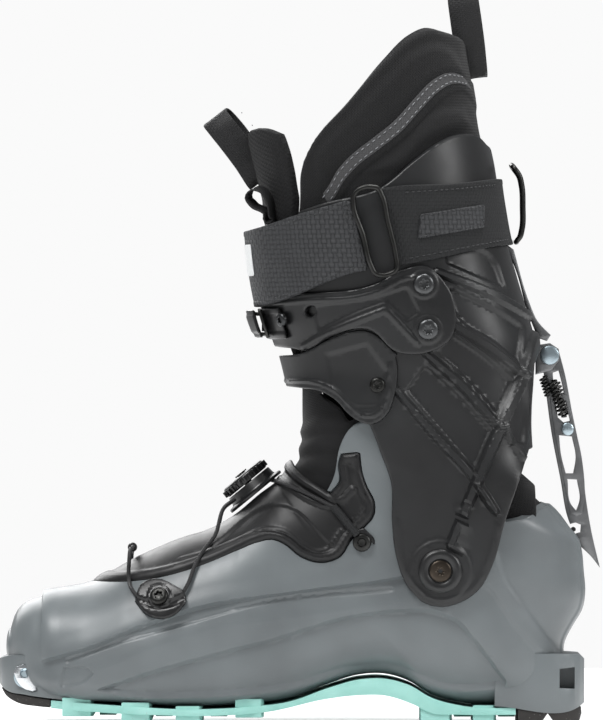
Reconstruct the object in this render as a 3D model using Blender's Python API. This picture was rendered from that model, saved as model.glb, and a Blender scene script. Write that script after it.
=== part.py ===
"""A ski-touring boot for the left foot, in metres, +Z up. The toe points along -X, the outer side of the
boot along -Y, and the lugs stand on z = 0. Outlines are in millimetres, in the side view (x, z)."""

import math

import bmesh
import bpy
import numpy as np
from mathutils import Matrix, Vector

MM = 0.001
GAP = 0.3

# Driving dimensions, in millimetres
TOE_X = -144.5
HEEL_X = 134.0
FAN_X, FAN_Z = -30.0, 140.0
PIVOT_X, PIVOT_Z = 65.9, 73.3
LEVER_X, LEVER_Z = 118.8, 175.8
SHELL_WALL = 4.0
CUFF_WALL = 3.0
LEDGE_HALF = 34.0
GROOVE_R = 61.4
GROOVE_HALF = 4.6
LACE_R = 0.9
ALL_Y = 120.0
ABOUT = 24

HEXES = {
    "shell_grey": ("7D8284", 0.45, 0.0),
    "sole_mint": ("B5E3DC", 0.6, 0.0),
    "rubber": ("202122", 0.8, 0.0),
    "cuff_black": ("2C2D2E", 0.5, 0.0),
    "cover_black": ("232425", 0.45, 0.0),
    "fabric": ("1C1C1D", 0.95, 0.0),
    "foam": ("3A3A3B", 0.95, 0.0),
    "webbing": ("202021", 0.9, 0.0),
    "steel": ("C9CDD0", 0.3, 1.0),
    "zinc": ("8F979B", 0.4, 1.0),
    "lever_metal": ("6F6F6F", 0.45, 1.0),
    "dark_steel": ("3A3A38", 0.4, 1.0),
}


def linear(channel):
    return channel / 12.92 if channel <= 0.04045 else ((channel + 0.055) / 1.055) ** 2.4


def material(name):
    if name in bpy.data.materials:
        return bpy.data.materials[name]
    code, roughness, metallic = HEXES[name]
    made = bpy.data.materials.new(name)
    made.use_nodes = True
    shader = made.node_tree.nodes["Principled BSDF"]
    colour = [linear(int(code[i : i + 2], 16) / 255) for i in (0, 2, 4)]
    shader.inputs["Base Color"].default_value = (*colour, 1)
    shader.inputs["Roughness"].default_value = roughness
    shader.inputs["Metallic"].default_value = metallic
    return made


# ---------------------------------------------------------------- solids


def solid(name, points, faces, finish="cuff_black"):
    """A closed mesh object from millimetre points, with its faces turned outwards."""
    mesh = bpy.data.meshes.new(name)
    mesh.from_pydata([[c * MM for c in p] for p in points], [], faces)
    work = bmesh.new()
    work.from_mesh(mesh)
    bmesh.ops.recalc_face_normals(work, faces=work.faces)
    work.to_mesh(mesh)
    work.free()
    made = bpy.data.objects.new(name, mesh)
    bpy.context.scene.collection.objects.link(made)
    mesh.materials.append(material(finish))
    return made


def skin_rings(name, rings, finish="cuff_black"):
    """Joins rings of equal length into a tube, and closes its two ends with flat caps."""
    count = len(rings[0])
    points = [p for ring in rings for p in ring]
    faces = [list(range(count)), list(range(len(points) - count, len(points)))]
    for row in range(len(rings) - 1):
        for i in range(count):
            j = (i + 1) % count
            a, b = row * count, (row + 1) * count
            faces.append([a + i, a + j, b + j, b + i])
    return solid(name, points, faces, finish)


def prism(name, outline, y0, y1, finish="cuff_black"):
    """A side-view outline (x, z), extruded from y0 to y1."""
    rings = [[(x, y, z) for x, z in outline] for y in (y0, y1)]
    return skin_rings(name, rings, finish)


def column(name, outline, z0, z1, finish="cuff_black"):
    """A plan outline (x, y), extruded from z0 to z1."""
    rings = [[(x, y, z) for x, y in outline] for z in (z0, z1)]
    return skin_rings(name, rings, finish)


def boolean(target, tool, operation="DIFFERENCE"):
    """Cuts, joins or crosses target with tool, keeps the result in target and drops the tool."""
    step = target.modifiers.new("step", "BOOLEAN")
    step.operation = operation
    step.object = tool
    graph = bpy.context.evaluated_depsgraph_get()
    result = bpy.data.meshes.new_from_object(target.evaluated_get(graph))
    target.modifiers.remove(step)
    old = target.data
    target.data = result
    bpy.data.meshes.remove(old)
    bpy.data.objects.remove(tool)
    return target


def turned(name, profile, place, axis, sides=20, finish="steel"):
    """A profile of (radius, height), bottom to top, turned about axis through place."""
    turn = Vector(axis).to_track_quat("Z", "Y").to_matrix()
    rings = []
    for radius, height in profile:
        ring = []
        for i in range(sides):
            a = 2 * math.pi * i / sides
            local = Vector((radius * math.cos(a), radius * math.sin(a), height))
            ring.append(tuple(Vector(place) + turn @ local))
        rings.append(ring)
    return skin_rings(name, rings, finish)


def button(name, place, axis, radius, height, finish="zinc", sides=16):
    """A low round head with a bevelled rim."""
    rim = min(0.4 * height, 0.25 * radius)
    profile = [(radius, 0), (radius, height - rim), (radius - rim, height)]
    return turned(name, profile, place, axis, sides, finish)


def tube(name, points, radius, finish="dark_steel", resolution=2, closed=False):
    """A wire or cord along millimetre points, smoothed through them."""
    path = smooth_path(points, closed, 2 if closed else 3)
    curve = bpy.data.curves.new(name, "CURVE")
    curve.dimensions = "3D"
    curve.bevel_depth = radius * MM
    curve.bevel_resolution = resolution
    curve.use_fill_caps = not closed
    spline = curve.splines.new("POLY")
    spline.points.add(len(path) - 1)
    spline.use_cyclic_u = closed
    for point, place in zip(spline.points, path):
        point.co = (*[c * MM for c in place], 1)
    made = bpy.data.objects.new(name, curve)
    bpy.context.scene.collection.objects.link(made)
    curve.materials.append(material(finish))
    return made


def smooth_path(points, closed, per_span):
    """Points on a Catmull-Rom curve through the given ones."""
    given = [np.array(p, float) for p in points]
    count = len(given)
    spans = count if closed else count - 1
    path = []
    for i in range(spans):
        if closed:
            a, b, c, d = (given[(i + k) % count] for k in (-1, 0, 1, 2))
        else:
            a, b, c, d = (given[min(max(i + k, 0), count - 1)] for k in (-1, 0, 1, 2))
        for step in range(per_span):
            t = step / per_span
            bend = (2 * a - 5 * b + 4 * c - d) * t**2 + (3 * b - a - 3 * c + d) * t**3
            path.append(0.5 * (2 * b + (c - a) * t + bend))
    if not closed:
        path.append(given[-1])
    return [tuple(p) for p in path]


# ---------------------------------------------------------------- the boot's skin
# The skin is drawn from cross-sections. They stand upright along the toes, fan round a point in front of
# the ankle, and lie flat up the leg. A section's key is x along the toes, FAN_X plus the fan's angle in
# degrees round the ankle, and LEG_KEY plus half the height up the leg.

LEG_KEY = FAN_X + 90


def plane_of(key):
    """The start point and the direction of a section's line in the side view."""
    if key < FAN_X:
        return (key, FAN_Z), (0.0, -1.0)
    if key <= LEG_KEY:
        angle = math.radians(key - FAN_X)
        return (FAN_X, FAN_Z), (math.sin(angle), -math.cos(angle))
    return (FAN_X, FAN_Z + 2 * (key - LEG_KEY)), (1.0, 0.0)


def key_of(x, z):
    if z > FAN_Z and x > FAN_X:
        return LEG_KEY + (z - FAN_Z) / 2
    if x < FAN_X:
        return x
    return FAN_X + math.degrees(math.atan2(x - FAN_X, FAN_Z - z))


def reach(outline, start, way):
    """How far along the line the outline is crossed."""
    best = None
    for (x0, z0), (x1, z1) in zip(outline, outline[1:]):
        dx, dz = x1 - x0, z1 - z0
        cross = way[0] * dz - way[1] * dx
        if abs(cross) < 1e-9:
            continue
        ex, ez = x0 - start[0], z0 - start[1]
        along = (ex * dz - ez * dx) / cross
        share = (ex * way[1] - ez * way[0]) / cross
        if -1e-6 <= share <= 1 + 1e-6 and (best is None or abs(along) < abs(best)):
            best = along
    return best


class Skin:
    """A boot surface: its front and rear outline, and how wide, how square and how skewed each section is."""

    def __init__(self, front, rear, table):
        self.front, self.rear = front, rear
        self.table = np.array(table, float).T

    def section(self, key, grow):
        start, way = plane_of(key)
        near = reach(self.front, start, way) - grow
        far = reach(self.rear, start, way) + grow
        half, middle, square_near, square_far, skew = (
            np.interp(key, self.table[0], row) for row in self.table[1:]
        )
        return start, way, near, far, half + grow, middle, square_near, square_far, skew

    def ring(self, key, grow):
        start, way, near, far, half, middle, square_near, square_far, skew = self.section(key, grow)
        ring = []
        for i in range(ABOUT):
            angle = 2 * math.pi * (i + 0.5) / ABOUT
            c, s = math.cos(angle), math.sin(angle)
            power = 2 / (square_far if c > 0 else square_near)
            end = 1 - middle if c > 0 else 1 + middle
            share = middle + math.copysign(abs(c) ** power * end, c)
            along = (near + far) / 2 + share * (far - near) / 2
            across = skew + half * math.copysign(abs(s) ** power, s)
            ring.append((start[0] + along * way[0], across, start[1] + along * way[1]))
        return ring

    def body(self, name, keys, grow, finish="cuff_black"):
        return skin_rings(name, [self.ring(key, grow) for key in keys], finish)

    def side(self, x, z, grow=0.0, outer=True):
        """The skin's y at a point of the side view, on the outer or the inner side of the boot."""
        start, way, near, far, half, middle, square_near, square_far, skew = self.section(key_of(x, z), grow)
        along = (x - start[0]) * way[0] + (z - start[1]) * way[1]
        share = (along - (near + far) / 2) / ((far - near) / 2) - middle
        power = square_far if share > 0 else square_near
        share = min(abs(share) / (1 - middle if share > 0 else 1 + middle), 1)
        wide = half * (1 - share**power) ** (1 / power)
        return skew - wide if outer else skew + wide


# A row of a table: key, half width, place of the widest point, squareness towards the top or front,
# squareness towards the sole or rear, and skew.
SHELL = Skin(
    front=[(-141, 34), (-139.6, 44.6), (-136.4, 53.7), (-129.7, 60.2), (-120.5, 63.7), (-100.4, 68.0),
           (-77.4, 79.8), (-58.2, 88.0), (-43.9, 92.6), (-33.3, 98.4), (-21, 108.4), (-9, 118.6),
           (-5.5, 126), (-4.2, 135), (-4.2, 150), (-4.2, 200)],
    rear=[(-141, 33.5), (-138, 24), (-131, 16), (-119.6, 11.9), (-89.4, 9.9), (-52.5, 8.1), (-25, 9.2),
          (-6.5, 11.6), (14.1, 19.0), (27.1, 22.8), (40, 23.3), (51, 20.1), (62.1, 13.3), (76.4, 9.5),
          (102.3, 8.4), (116, 9.0), (123, 14), (125.3, 25), (125.5, 38), (129.6, 46.5), (134.3, 54.6),
          (135.6, 63), (134.9, 72), (134, 82), (132.5, 88), (129, 92), (122.5, 100.7), (118, 105),
          (110, 113), (103, 125), (99, 140), (99, 200)],
    table=[(-139.4, 19, 0.0, 2.2, 2.2, 8.0), (-136, 28, 0.1, 2.3, 2.6, 7.6), (-130, 36, 0.25, 2.4, 3.2, 7.0),
           (-120, 42, 0.3, 2.4, 5, 6.0), (-105, 46, 0.35, 2.3, 6, 4.6), (-85, 48.6, 0.35, 2.3, 6.5, 3.0),
           (-65, 49.4, 0.3, 2.3, 6.5, 1.5), (-45, 48.4, 0.25, 2.4, 6.5, 0.5), (-30, 47, 0.2, 2.5, 6, 0),
           (-15, 45.6, 0.1, 2.8, 5, 0), (-4, 44.8, 0.0, 3, 4.5, 0), (10, 44.8, -0.05, 3, 3.6, 0),
           (25, 44.6, -0.1, 3, 2.8, 0), (40, 44.6, -0.1, 2.9, 2.6, 0), (60, 44.6, 0, 2.7, 2.7, 0),
           (80, 44.6, 0, 2.7, 2.7, 0)],
)

CUFF = Skin(
    front=[(-20, 100), (-8, 118), (-2, 135), (-3, 150), (-6, 165), (-10, 180), (-15, 193), (-18, 206),
           (-20.5, 222), (-22, 240), (-22.5, 255), (-22.5, 380)],
    rear=[(-25, -10), (60, -10), (130, 20), (155, 60), (150, 90), (125, 112), (111.5, 128), (110.3, 138),
          (110.3, 150), (111.3, 165), (111.6, 184), (108.4, 196), (103.4, 213), (98.4, 231), (95.3, 248),
          (92.5, 267), (88.6, 285), (86.5, 300), (83, 320), (77, 380)],
    table=[(-20, 48.6, 0, 4, 6, 0), (30, 48.6, 0, 4, 6, 0), (50, 48.6, 0, 4, 4.5, 0),
           (60, 48.7, 0, 3.6, 3.8, 0), (73, 49.5, 0, 2.8, 3.2, 0), (88, 52, 0, 2.4, 2.7, 0),
           (105, 53.2, 0, 2.3, 2.5, 0),
           (118, 53.6, 0, 2.3, 2.4, 0), (130, 52.6, 0, 2.2, 2.4, 0), (158, 49, 0, 2.2, 2.3, 0)],
)

SHELL_KEYS = [-139.4, -138, -134, -128, -119, -108, -95, -80, -66, -54, -42, -30, -22, -14, -6, 2, 9, 14.5,
              18.5, 22, 25, 27.5, 30.5, 34, 38, 43, 48, 54, 60, 64, 70, 76]
INNER_KEYS = SHELL_KEYS[2:-1:2] + [79]
LEG_KEYS = [10, 18, 26, 34, 42, 50, 55, 60, 65, 71, 78, 84, 90, 97, 104, 111, 118, 124, 130, 137, 145, 152,
            158]


def leg_key(z):
    return LEG_KEY + (z - FAN_Z) / 2


def between(keys, low, high):
    return [low] + [key for key in keys if low + 1 < key < high - 1] + [high]


def patch(name, skin, keys, inner, outer, outline, finish, y0=-ALL_Y, y1=ALL_Y):
    """The part of a skin's wall, from grow inner to grow outer, that lies inside a side-view outline."""
    wall = skin.body(name, keys, outer, finish)
    if inner is not None:
        if skin is CUFF:
            keys = [keys[0] - 0.5] + keys[1:-1] + [keys[-1] + 0.5]
        boolean(wall, skin.body("core", keys, inner))
    return boolean(wall, prism("window", outline, y0, y1), "INTERSECT")


def arc(cx, cz, radius, start, end, count):
    """Points round a centre of the side view. 0 degrees is up, and positive angles lean towards the toe."""
    points = []
    for i in range(count):
        a = math.radians(start + (end - start) * i / (count - 1))
        points.append((cx - radius * math.sin(a), cz + radius * math.cos(a)))
    return points


# ---------------------------------------------------------------- outlines (x, z)

COVER_EDGE = [(-106, 68.4), (-83, 68.4), (-70, 70), (-56, 73.5), (-44.5, 77.5), (-31.5, 83), (-20, 87.5),
              (-14, 88.5), (-8.5, 86.5), (0, 80), (8, 77.5), (13.5, 78), (18, 80), (23.5, 88), (29, 93.5),
              (34.5, 100.5), (34.5, 106), (31, 113), (28.5, 120.5), (27.5, 129.5), (19, 128.6), (17.6, 124),
              (18.2, 116), (13.5, 110), (-5.5, 125.2), (-8, 134), (-45, 134)]
SHELL_COLLAR = [(-150, 0), (150, 0), (150, 104.6), (118, 104.6), (106, 98.4), (96.5, 96.8), (86, 112),
                (72, 132), (58, 143), (30.5, 144.5), (26, 143.5), (20.5, 138), (17.8, 132), (15, 118),
                (4, 100), (-10, 98), (-40, 86), (-70, 77), (-84, 74.4), (-90, 76), (-94, 84), (-150, 84)]
CUFF_OUTLINE = [(42.9, 96.8), (45.3, 78.6), (50.1, 66.1), (58.2, 58), (66.4, 56.2), (76, 58.5), (84.1, 64.2),
                (90.8, 76.2), (96.1, 94.9), (109, 130.9), (125, 135), (125, 276), (88.9, 276.6), (85.5, 280),
                (75, 280.5), (65.5, 276.5), (53.5, 268), (37, 255), (10, 248), (-2, 244), (-2, 205), (6, 185),
                (20, 164), (31.4, 144.7), (38, 128), (42.4, 115.5)]
PANEL_OUTLINE = [(-20, 162), (0, 160), (8, 159), (16, 154.5), (23, 147), (29, 143.5), (34, 143), (40, 147),
                 (44, 156.5), (45.4, 171), (44.5, 175.5), (45.5, 176), (31.5, 187), (13.5, 183.5),
                 (0.5, 177), (-30, 177)]
ARM_OUTLINE = [(-40, 180), (-5.5, 179), (0.5, 178), (13.5, 184.5), (31.5, 188), (45.5, 177), (63, 178),
               (69.5, 182), (72.5, 201.5), (64.5, 214.5), (61, 217.5), (47, 216), (36, 210), (30, 208),
               (1, 205), (-40, 199)]
STRAP_OUTLINE = [(-40, 197), (-19, 199.4), (25.5, 215), (34.5, 216.8), (46.5, 218.3), (98.5, 228.5),
                 (125, 231), (125, 262), (99.5, 260.5), (76, 257.5), (35.5, 254), (27, 251), (-0.5, 243),
                 (-25, 235.5), (-40, 233)]
COLLAR_OUTLINE = [(5.1, 157)] + arc(PIVOT_X, PIVOT_Z, 103.5, 32, 17, 4)
COLLAR_OUTLINE += arc(PIVOT_X, PIVOT_Z, 84, 17, -38, 8) + [
    (130, 139), (130, 288.5), (89.5, 288.5), (88, 307.5), (77, 328), (69.5, 330), (61.5, 331.5), (53, 328),
    (40, 316.5), (21, 295.5), (4, 276.5), (-0.5, 267), (-2, 248), (-2, 180)]
TONGUE_OUTLINE = [(-40, 163), (-1, 163), (-3.5, 180), (-3.5, 248), (-2.4, 262), (-2, 272), (-3, 281),
                  (-10.5, 284), (-17.5, 283.5), (-22.5, 279), (-40, 270)]
LEVER_OUTLINE = [(114.6, 179.5), (118.5, 181.5), (123, 179), (126.3, 166.5), (129.5, 149.5), (134.3, 125.5),
                 (136.4, 106.5), (139, 91), (143, 74), (138.4, 79.8), (134, 84), (131.2, 86.8), (129.8, 88.8),
                 (131.2, 90.2), (133.6, 91), (133.9, 94.6), (131.4, 95.6), (128.7, 94.9), (127.6, 98),
                 (124.2, 116), (119.6, 140), (117.2, 158)]
LUGS = [(-114.3, -98.5, 3.8), (-86, -70.7, 1.7), (-60.2, -46.7, 0), (-31.9, -17.5, 3.4), (56.3, 72.1, 0),
        (81.2, 93.2, 0)]
SOLE_TOP = [(-119.6, 11.3), (-89.4, 9.3), (-52.5, 7.5), (-25, 8.6), (-6.5, 10.8), (14.1, 17.8), (27.1, 21.3),
            (40, 21.7), (51, 18.8), (62.1, 12.6), (76.4, 8.8), (102.3, 7.8)]
SOLE_UNDER = [(102.3, 4.6), (76, 4.6), (62, 5.4), (52.5, 9.8), (40, 13.7), (27.1, 13.9), (12.2, 12.2),
              (-15.6, 6.2), (-30, 4.9), (-75, 4.9), (-98, 6.0), (-119.6, 7.6)]


# ---------------------------------------------------------------- lower boot


def plan(widths, inset=0.0):
    """A plan outline from (x, half width) pairs, skewed like the shell."""
    skews = SHELL.table
    outer, inner = [], []
    for x, half in widths:
        skew = np.interp(x, skews[0], skews[5])
        outer.append((x, skew - half + inset))
        inner.append((x, skew + half - inset))
    return outer + inner[::-1]


TOE_PLAN = [(TOE_X, 13), (-143.3, 20), (-140.5, 25.5), (-136, 30), (-129, 33.5), (-120, 36), (-108, 38)]
HEEL_PLAN = [(92, 34), (112, LEDGE_HALF), (122, LEDGE_HALF - 1.5), (128, 30), (132, 25.5), (HEEL_X, 21)]
SOLE_PLAN = [(-119.4, 35), (-112, 38.5), (-104, 41), (-90, 43.6), (-75, 45), (-55, 45), (-35, 42.6),
             (-15, 39), (10, 35.5), (40, 33.5), (70, 33), (102, 33.4)]


def lower_shell():
    shell = SHELL.body("lower_shell", SHELL_KEYS, 0, "shell_grey")
    toe = column("toe", plan(TOE_PLAN), 10, 32)
    boolean(toe, prism("under", [(-150, 21.5), (-141, 15.8), (-132, 13.9), (-119, 12.2), (-100, 10.8),
                                 (-100, 0), (-150, 0)], -ALL_Y, ALL_Y))
    boolean(shell, toe, "UNION")
    boolean(shell, column("heel", plan(HEEL_PLAN), 8.4, 33), "UNION")
    cavity = SHELL.body("cavity", INNER_KEYS, -SHELL_WALL)
    boolean(shell, cavity)
    boolean(shell, prism("collar", SHELL_COLLAR, -ALL_Y, ALL_Y), "INTERSECT")
    pocket = patch("pocket", SHELL, between(SHELL_KEYS, -112, 72), -2.5, 4, wider(COVER_EDGE, 0.5),
                   "cover_black")
    boolean(shell, pocket)
    sweep = arc(PIVOT_X, PIVOT_Z, GROOVE_R, -48, -112, 12) + arc(PIVOT_X, PIVOT_Z, 90, -112, -48, 6)
    boolean(shell, prism("groove", sweep, -GROOVE_HALF, GROOVE_HALF))
    boolean(shell, prism("toe_slot", wider(TEARDROP, GAP), -ALL_Y, ALL_Y))
    boolean(shell, prism("heel_slot", [(130.2, 12.1), (140, 12.1), (140, 30.6), (130.2, 30.6)], -14.4, 14.4))
    for way in (-1, 1):
        window = [(123, 17), (130, 16.6), (130, 27.3), (123, 26.4)]
        boolean(shell, prism("window", window, *sorted((way * 19, way * 60))))
    return shell


TEARDROP = [(-137.2, 24.2), (-136, 27.2), (-132.6, 28.6), (-129.2, 27.4), (-126.6, 21), (-125.8, 15.6),
            (-128.5, 14.9), (-133.4, 17.4), (-136.2, 21)]


def wider(outline, by):
    """The outline moved outwards by a distance, corner by corner."""
    area = sum(a[0] * b[1] - b[0] * a[1] for a, b in zip(outline, outline[1:] + outline[:1]))
    way = 1 if area > 0 else -1
    count = len(outline)
    moved = []
    for i, point in enumerate(outline):
        before, after = Vector(outline[i - 1]), Vector(outline[(i + 1) % count])
        here = Vector(point)
        first, second = (here - before).normalized(), (after - here).normalized()
        normal = Vector((first.y + second.y, -first.x - second.x)).normalized() * way
        stretch = max(abs(normal.dot(Vector((first.y, -first.x)))), 0.5)
        moved.append(tuple(here + normal * by / stretch))
    return moved


def sole():
    blank = prism("sole", SOLE_TOP + SOLE_UNDER, -ALL_Y, ALL_Y, "sole_mint")
    for low, high, foot in LUGS:
        tread = [(low, 7.2), (low + 1, foot), (high - 1, foot), (high, 7.2)]
        boolean(blank, prism("lug", tread, -ALL_Y + 1, ALL_Y - 1), "UNION")
    return boolean(blank, column("plan", plan(SOLE_PLAN), -1, 40), "INTERSECT")


def sole_ends():
    toe = prism("toe_rubber", [(-143.4, 16.7), (-141.2, 13.4), (-136, 10.2), (-126, 8.4), (-119.9, 7.9),
                               (-119.9, 11.6), (-132, 13.3), (-141, 15.2)], -ALL_Y, ALL_Y, "rubber")
    boolean(toe, column("plan", plan(TOE_PLAN, 0.8), 0, 40), "INTERSECT")
    notch = [(103, 0), (113.5, 0), (117.2, 5.2), (121, 0), (132, 0), (133.6, 5), (133.4, 8), (103, 7.8)]
    heel = prism("heel_rubber", notch, -ALL_Y, ALL_Y, "rubber")
    boolean(heel, column("plan", plan(HEEL_PLAN, 0.6), -1, 40), "INTERSECT")
    return [toe, heel]


def inserts():
    bar = prism("toe_insert", TEARDROP, -25.6, 39.6, "steel")
    for y, way in ((-25.6, -1), (39.6, 1)):
        cone = [(0.4, -4.6), (2.4, 0), (2.6, 1)]
        boolean(bar, turned("socket", cone, (-132, y, 24.2), (0, way, 0), 12))
    plate_side = [(130.6, 12.5), (134.2, 12.5), (134.2, 30.2), (130.6, 30.2)]
    plate = prism("heel_insert", plate_side, -14, 14, "steel")
    for y in (-6, 6):
        slot = prism("slot", [(133, 15), (140, 15), (140, 22), (133, 22)], y - 2.2, y + 2.2)
        boolean(plate, slot)
    screw = button("heel_spine_screw", (60.9 + PIVOT_X, 0, 62.4), (1, 0, 0), 2.6, 7.2, "rubber")
    return [bar, plate, screw]


def instep_cover():
    keys = between(SHELL_KEYS, -111, 71)
    return patch("instep_cover", SHELL, keys, -2.1, 0.4, COVER_EDGE, "cover_black")


def gaiters():
    """The fabric sock over the instep, and its rear part between the heel and the cuff."""
    front = [(-96, 64), (-84, 62), (-30, 74), (0, 78), (14, 98), (26, 110), (31, 126), (32, 140)]
    front += arc(PIVOT_X, PIVOT_Z, 83, 22, 32, 3) + arc(PIVOT_X, PIVOT_Z, 99.4, 34, 43, 4)
    front += [(-30, 149), (-100, 120)]
    sock = patch("gaiter", SHELL, between(INNER_KEYS, -105, 74), -7.2, -4.5, front, "fabric")
    rear = [(94, 92), (130, 92)] + arc(PIVOT_X, PIVOT_Z, 65.6, -66, -26, 7) + [(92, 112)]
    back = patch("gaiter_rear", SHELL, between(INNER_KEYS, 20, 72), -8, -4.5, rear, "fabric", -33, 33)
    return [sock, back]


def foot_liner():
    """The boot board, the liner's foot and the footbed that lies in it."""
    board_side = [(-118, 18.6), (-60, 13.5), (-10, 16), (14, 24), (40, 28), (56, 24.6), (70, 18), (104, 15),
                  (120, 17), (120, 30), (70, 31), (20, 31.5), (-20, 23), (-60, 20), (-118, 23.4)]
    keys = between(INNER_KEYS, -126, 60)
    board = patch("boot_board", SHELL, keys, None, -4.6, board_side, "foam")
    ankle = arc(PIVOT_X, PIVOT_Z, 58, -64, 60, 9)
    foot_side = [(-130, 25.4), (-60, 20.6), (-20, 23.6), (20, 32.1), (70, 31.6), (130, 30.5)] + ankle + [
        (-8, 90), (-60, 71.5), (-84, 62), (-130, 60)]
    foot = SHELL.body("liner_foot", between(INNER_KEYS, -121, 66), -8.2, "foam")
    boolean(foot, SHELL.body("core", between(INNER_KEYS, -116, 70), -12.5))
    boolean(foot, prism("window", foot_side, -ALL_Y, ALL_Y), "INTERSECT")
    bed_side = [(-113, 27.6), (-60, 24.6), (-20, 27.4), (20, 36), (70, 35.6), (112, 35), (112, 38),
                (70, 38.6), (20, 39), (-20, 30.4), (-60, 27.6), (-113, 30.6)]
    bed = patch("footbed", SHELL, keys, None, -14, bed_side, "foam")
    return [board, foot, bed]


# ---------------------------------------------------------------- lacing

DIAL_AT = Vector((-21.6, 0, 110.0))
DIAL_AXIS = Vector((-0.636, 0, 0.772))


def dial():
    """The lace dial: its cup on the instep, the spool in it, and the knob on its pull-up stem."""
    def at(height):
        return tuple(DIAL_AT + DIAL_AXIS * height)

    wall = [(15.4, -0.2), (15.4, 1.2), (12.6, 2.4), (12.2, 6)]
    cup = turned("dial_base", wall, at(0), DIAL_AXIS, 24, "cover_black")
    boolean(cup, turned("hollow", [(9.6, 1.2), (9.6, 8)], at(0), DIAL_AXIS, 24))
    spool = turned("dial_spool", [(8.8, 1.6), (8.8, 2.4), (6, 2.6), (6, 4.4), (8.8, 4.6), (8.8, 5.4)],
                   at(0), DIAL_AXIS, 20, "cover_black")
    boolean(spool, turned("bore", [(2.5, 0), (2.5, 9)], at(0), DIAL_AXIS, 16))
    shaft = [(2.1, 2), (2.1, 11.6), (3.4, 11.6), (3.4, 12.2)]
    stem = turned("dial_stem", shaft, at(0), DIAL_AXIS, 12, "dark_steel")
    rim = [(11.6, 6.4), (12.4, 7.0), (12.4, 9.8), (11.2, 11.2)]
    knob = turned("dial_knob", rim, at(0), DIAL_AXIS, 24, "cover_black")
    boolean(knob, turned("bore", [(2.5, 0), (2.5, 20)], at(0), DIAL_AXIS, 16))
    return cup, spool, stem, knob


def on_skin(x, z, outer, lift):
    """A point over the shell, lifted off its side."""
    return (x, SHELL.side(x, z, 0.4 + lift, outer), z)


def lacing():
    """Cord guides on the shell, the cord from guide to dial, and the anchors at the ankle."""
    made = []
    for label, outer in (("outer", True), ("inner", False)):
        way = -1 if outer else 1
        hull = [(-79.2, 60), (-77, 66.5), (-73, 69.4), (-66.5, 69.6), (-60.5, 66.6), (-56.4, 63.6),
                (-55, 58.6), (-60.5, 52.4), (-66, 50.6), (-73, 52.4)]
        guide = patch("lace_guide_" + label, SHELL, between(SHELL_KEYS, -90, -45), 0.3, 5.2, hull,
                      "cover_black", *sorted((0, way * ALL_Y)))
        made.append(guide)
        if outer:
            face = SHELL.side(-67.6, 56.8, 5.5, outer)
            made.append(button("guide_rivet", (-67.6, face, 61.4), (0, way, 0), 4.4, 1.8))
        route = [(-33.4, way * 11.5, 106.4), (-37, way * 17, 103.2)]
        route += [on_skin(x, z, outer, 1.6)
                  for x, z in ((-41.5, 89.5), (-46.5, 83.2), (-50.6, 76), (-54, 66.4))]
        made.append(tube("lace_lower_" + label, route, LACE_R, "webbing"))
        route = [on_skin(x, z, outer, 1.7)
                 for x, z in ((-13.6, 115.4), (-6, 113.6), (3, 109.8), (15.6, 103.6))]
        made.append(tube("lace_upper_" + label, route, LACE_R, "webbing"))
        face = SHELL.side(28.7, 86.8, 0, outer)
        made.append(button("anchor_screw_" + label, (28.7, face + way * 0.3, 86.8), (0, way, 0), 4.4, 3.0))
    across = [on_skin(-80.4, 62.4, True, 1.6), on_skin(-82.3, 71, True, 1.6), (-82, -32, 79.0),
              (-81, -14, 83.2), (-80.6, 6, 83.4), (-81, 24, 81.8), (-82, 36.5, 78),
              on_skin(-82.3, 71, False, 1.6), on_skin(-80.4, 62.4, False, 1.6)]
    made.append(tube("lace_front", across, LACE_R, "webbing"))
    return made


def pivots():
    """The cuff's two pivots: a bush through cuff and shell, and the screw in it."""
    made = []
    for label, way in (("outer", -1), ("inner", 1)):
        profile = [(6.6, 41.4), (6.6, 48.9), (9.4, 48.9), (9.4, 50.6), (8.6, 51.2)]
        bush = turned("pivot_bush_" + label, profile, (PIVOT_X, 0, PIVOT_Z), (0, way, 0), 24, "cover_black")
        boolean(bush, turned("bore", [(5.4, 49.6), (5.4, 53)], (PIVOT_X, 0, PIVOT_Z), (0, way, 0), 20))
        head = (PIVOT_X, way * 49.9, PIVOT_Z)
        screw = button("pivot_screw_" + label, head, (0, way, 0), 5.1, 1.1, "dark_steel")
        made += [bush, screw]
    return made


def pivot_holes(target, radius):
    for way in (-1, 1):
        boolean(target, turned("hole", [(radius, 30), (radius, 80)], (PIVOT_X, 0, PIVOT_Z), (0, way, 0), 24))


def lock_pins():
    """Two stubs in the heel groove that the lever's hook stands between."""
    stub = [(1.1, 2.0), (1.1, GROOVE_HALF - GAP)]
    sides = (("outer", -1), ("inner", 1))
    return [turned("lock_pin_" + label, stub, (130.3, 0, 92.4), (0, way, 0), 12) for label, way in sides]


# ---------------------------------------------------------------- cuff


def cuff_shell():
    keys = between(LEG_KEYS, 12, leg_key(284))
    return patch("cuff_shell", CUFF, keys, -CUFF_WALL, 0, CUFF_OUTLINE, "cuff_black")


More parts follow.
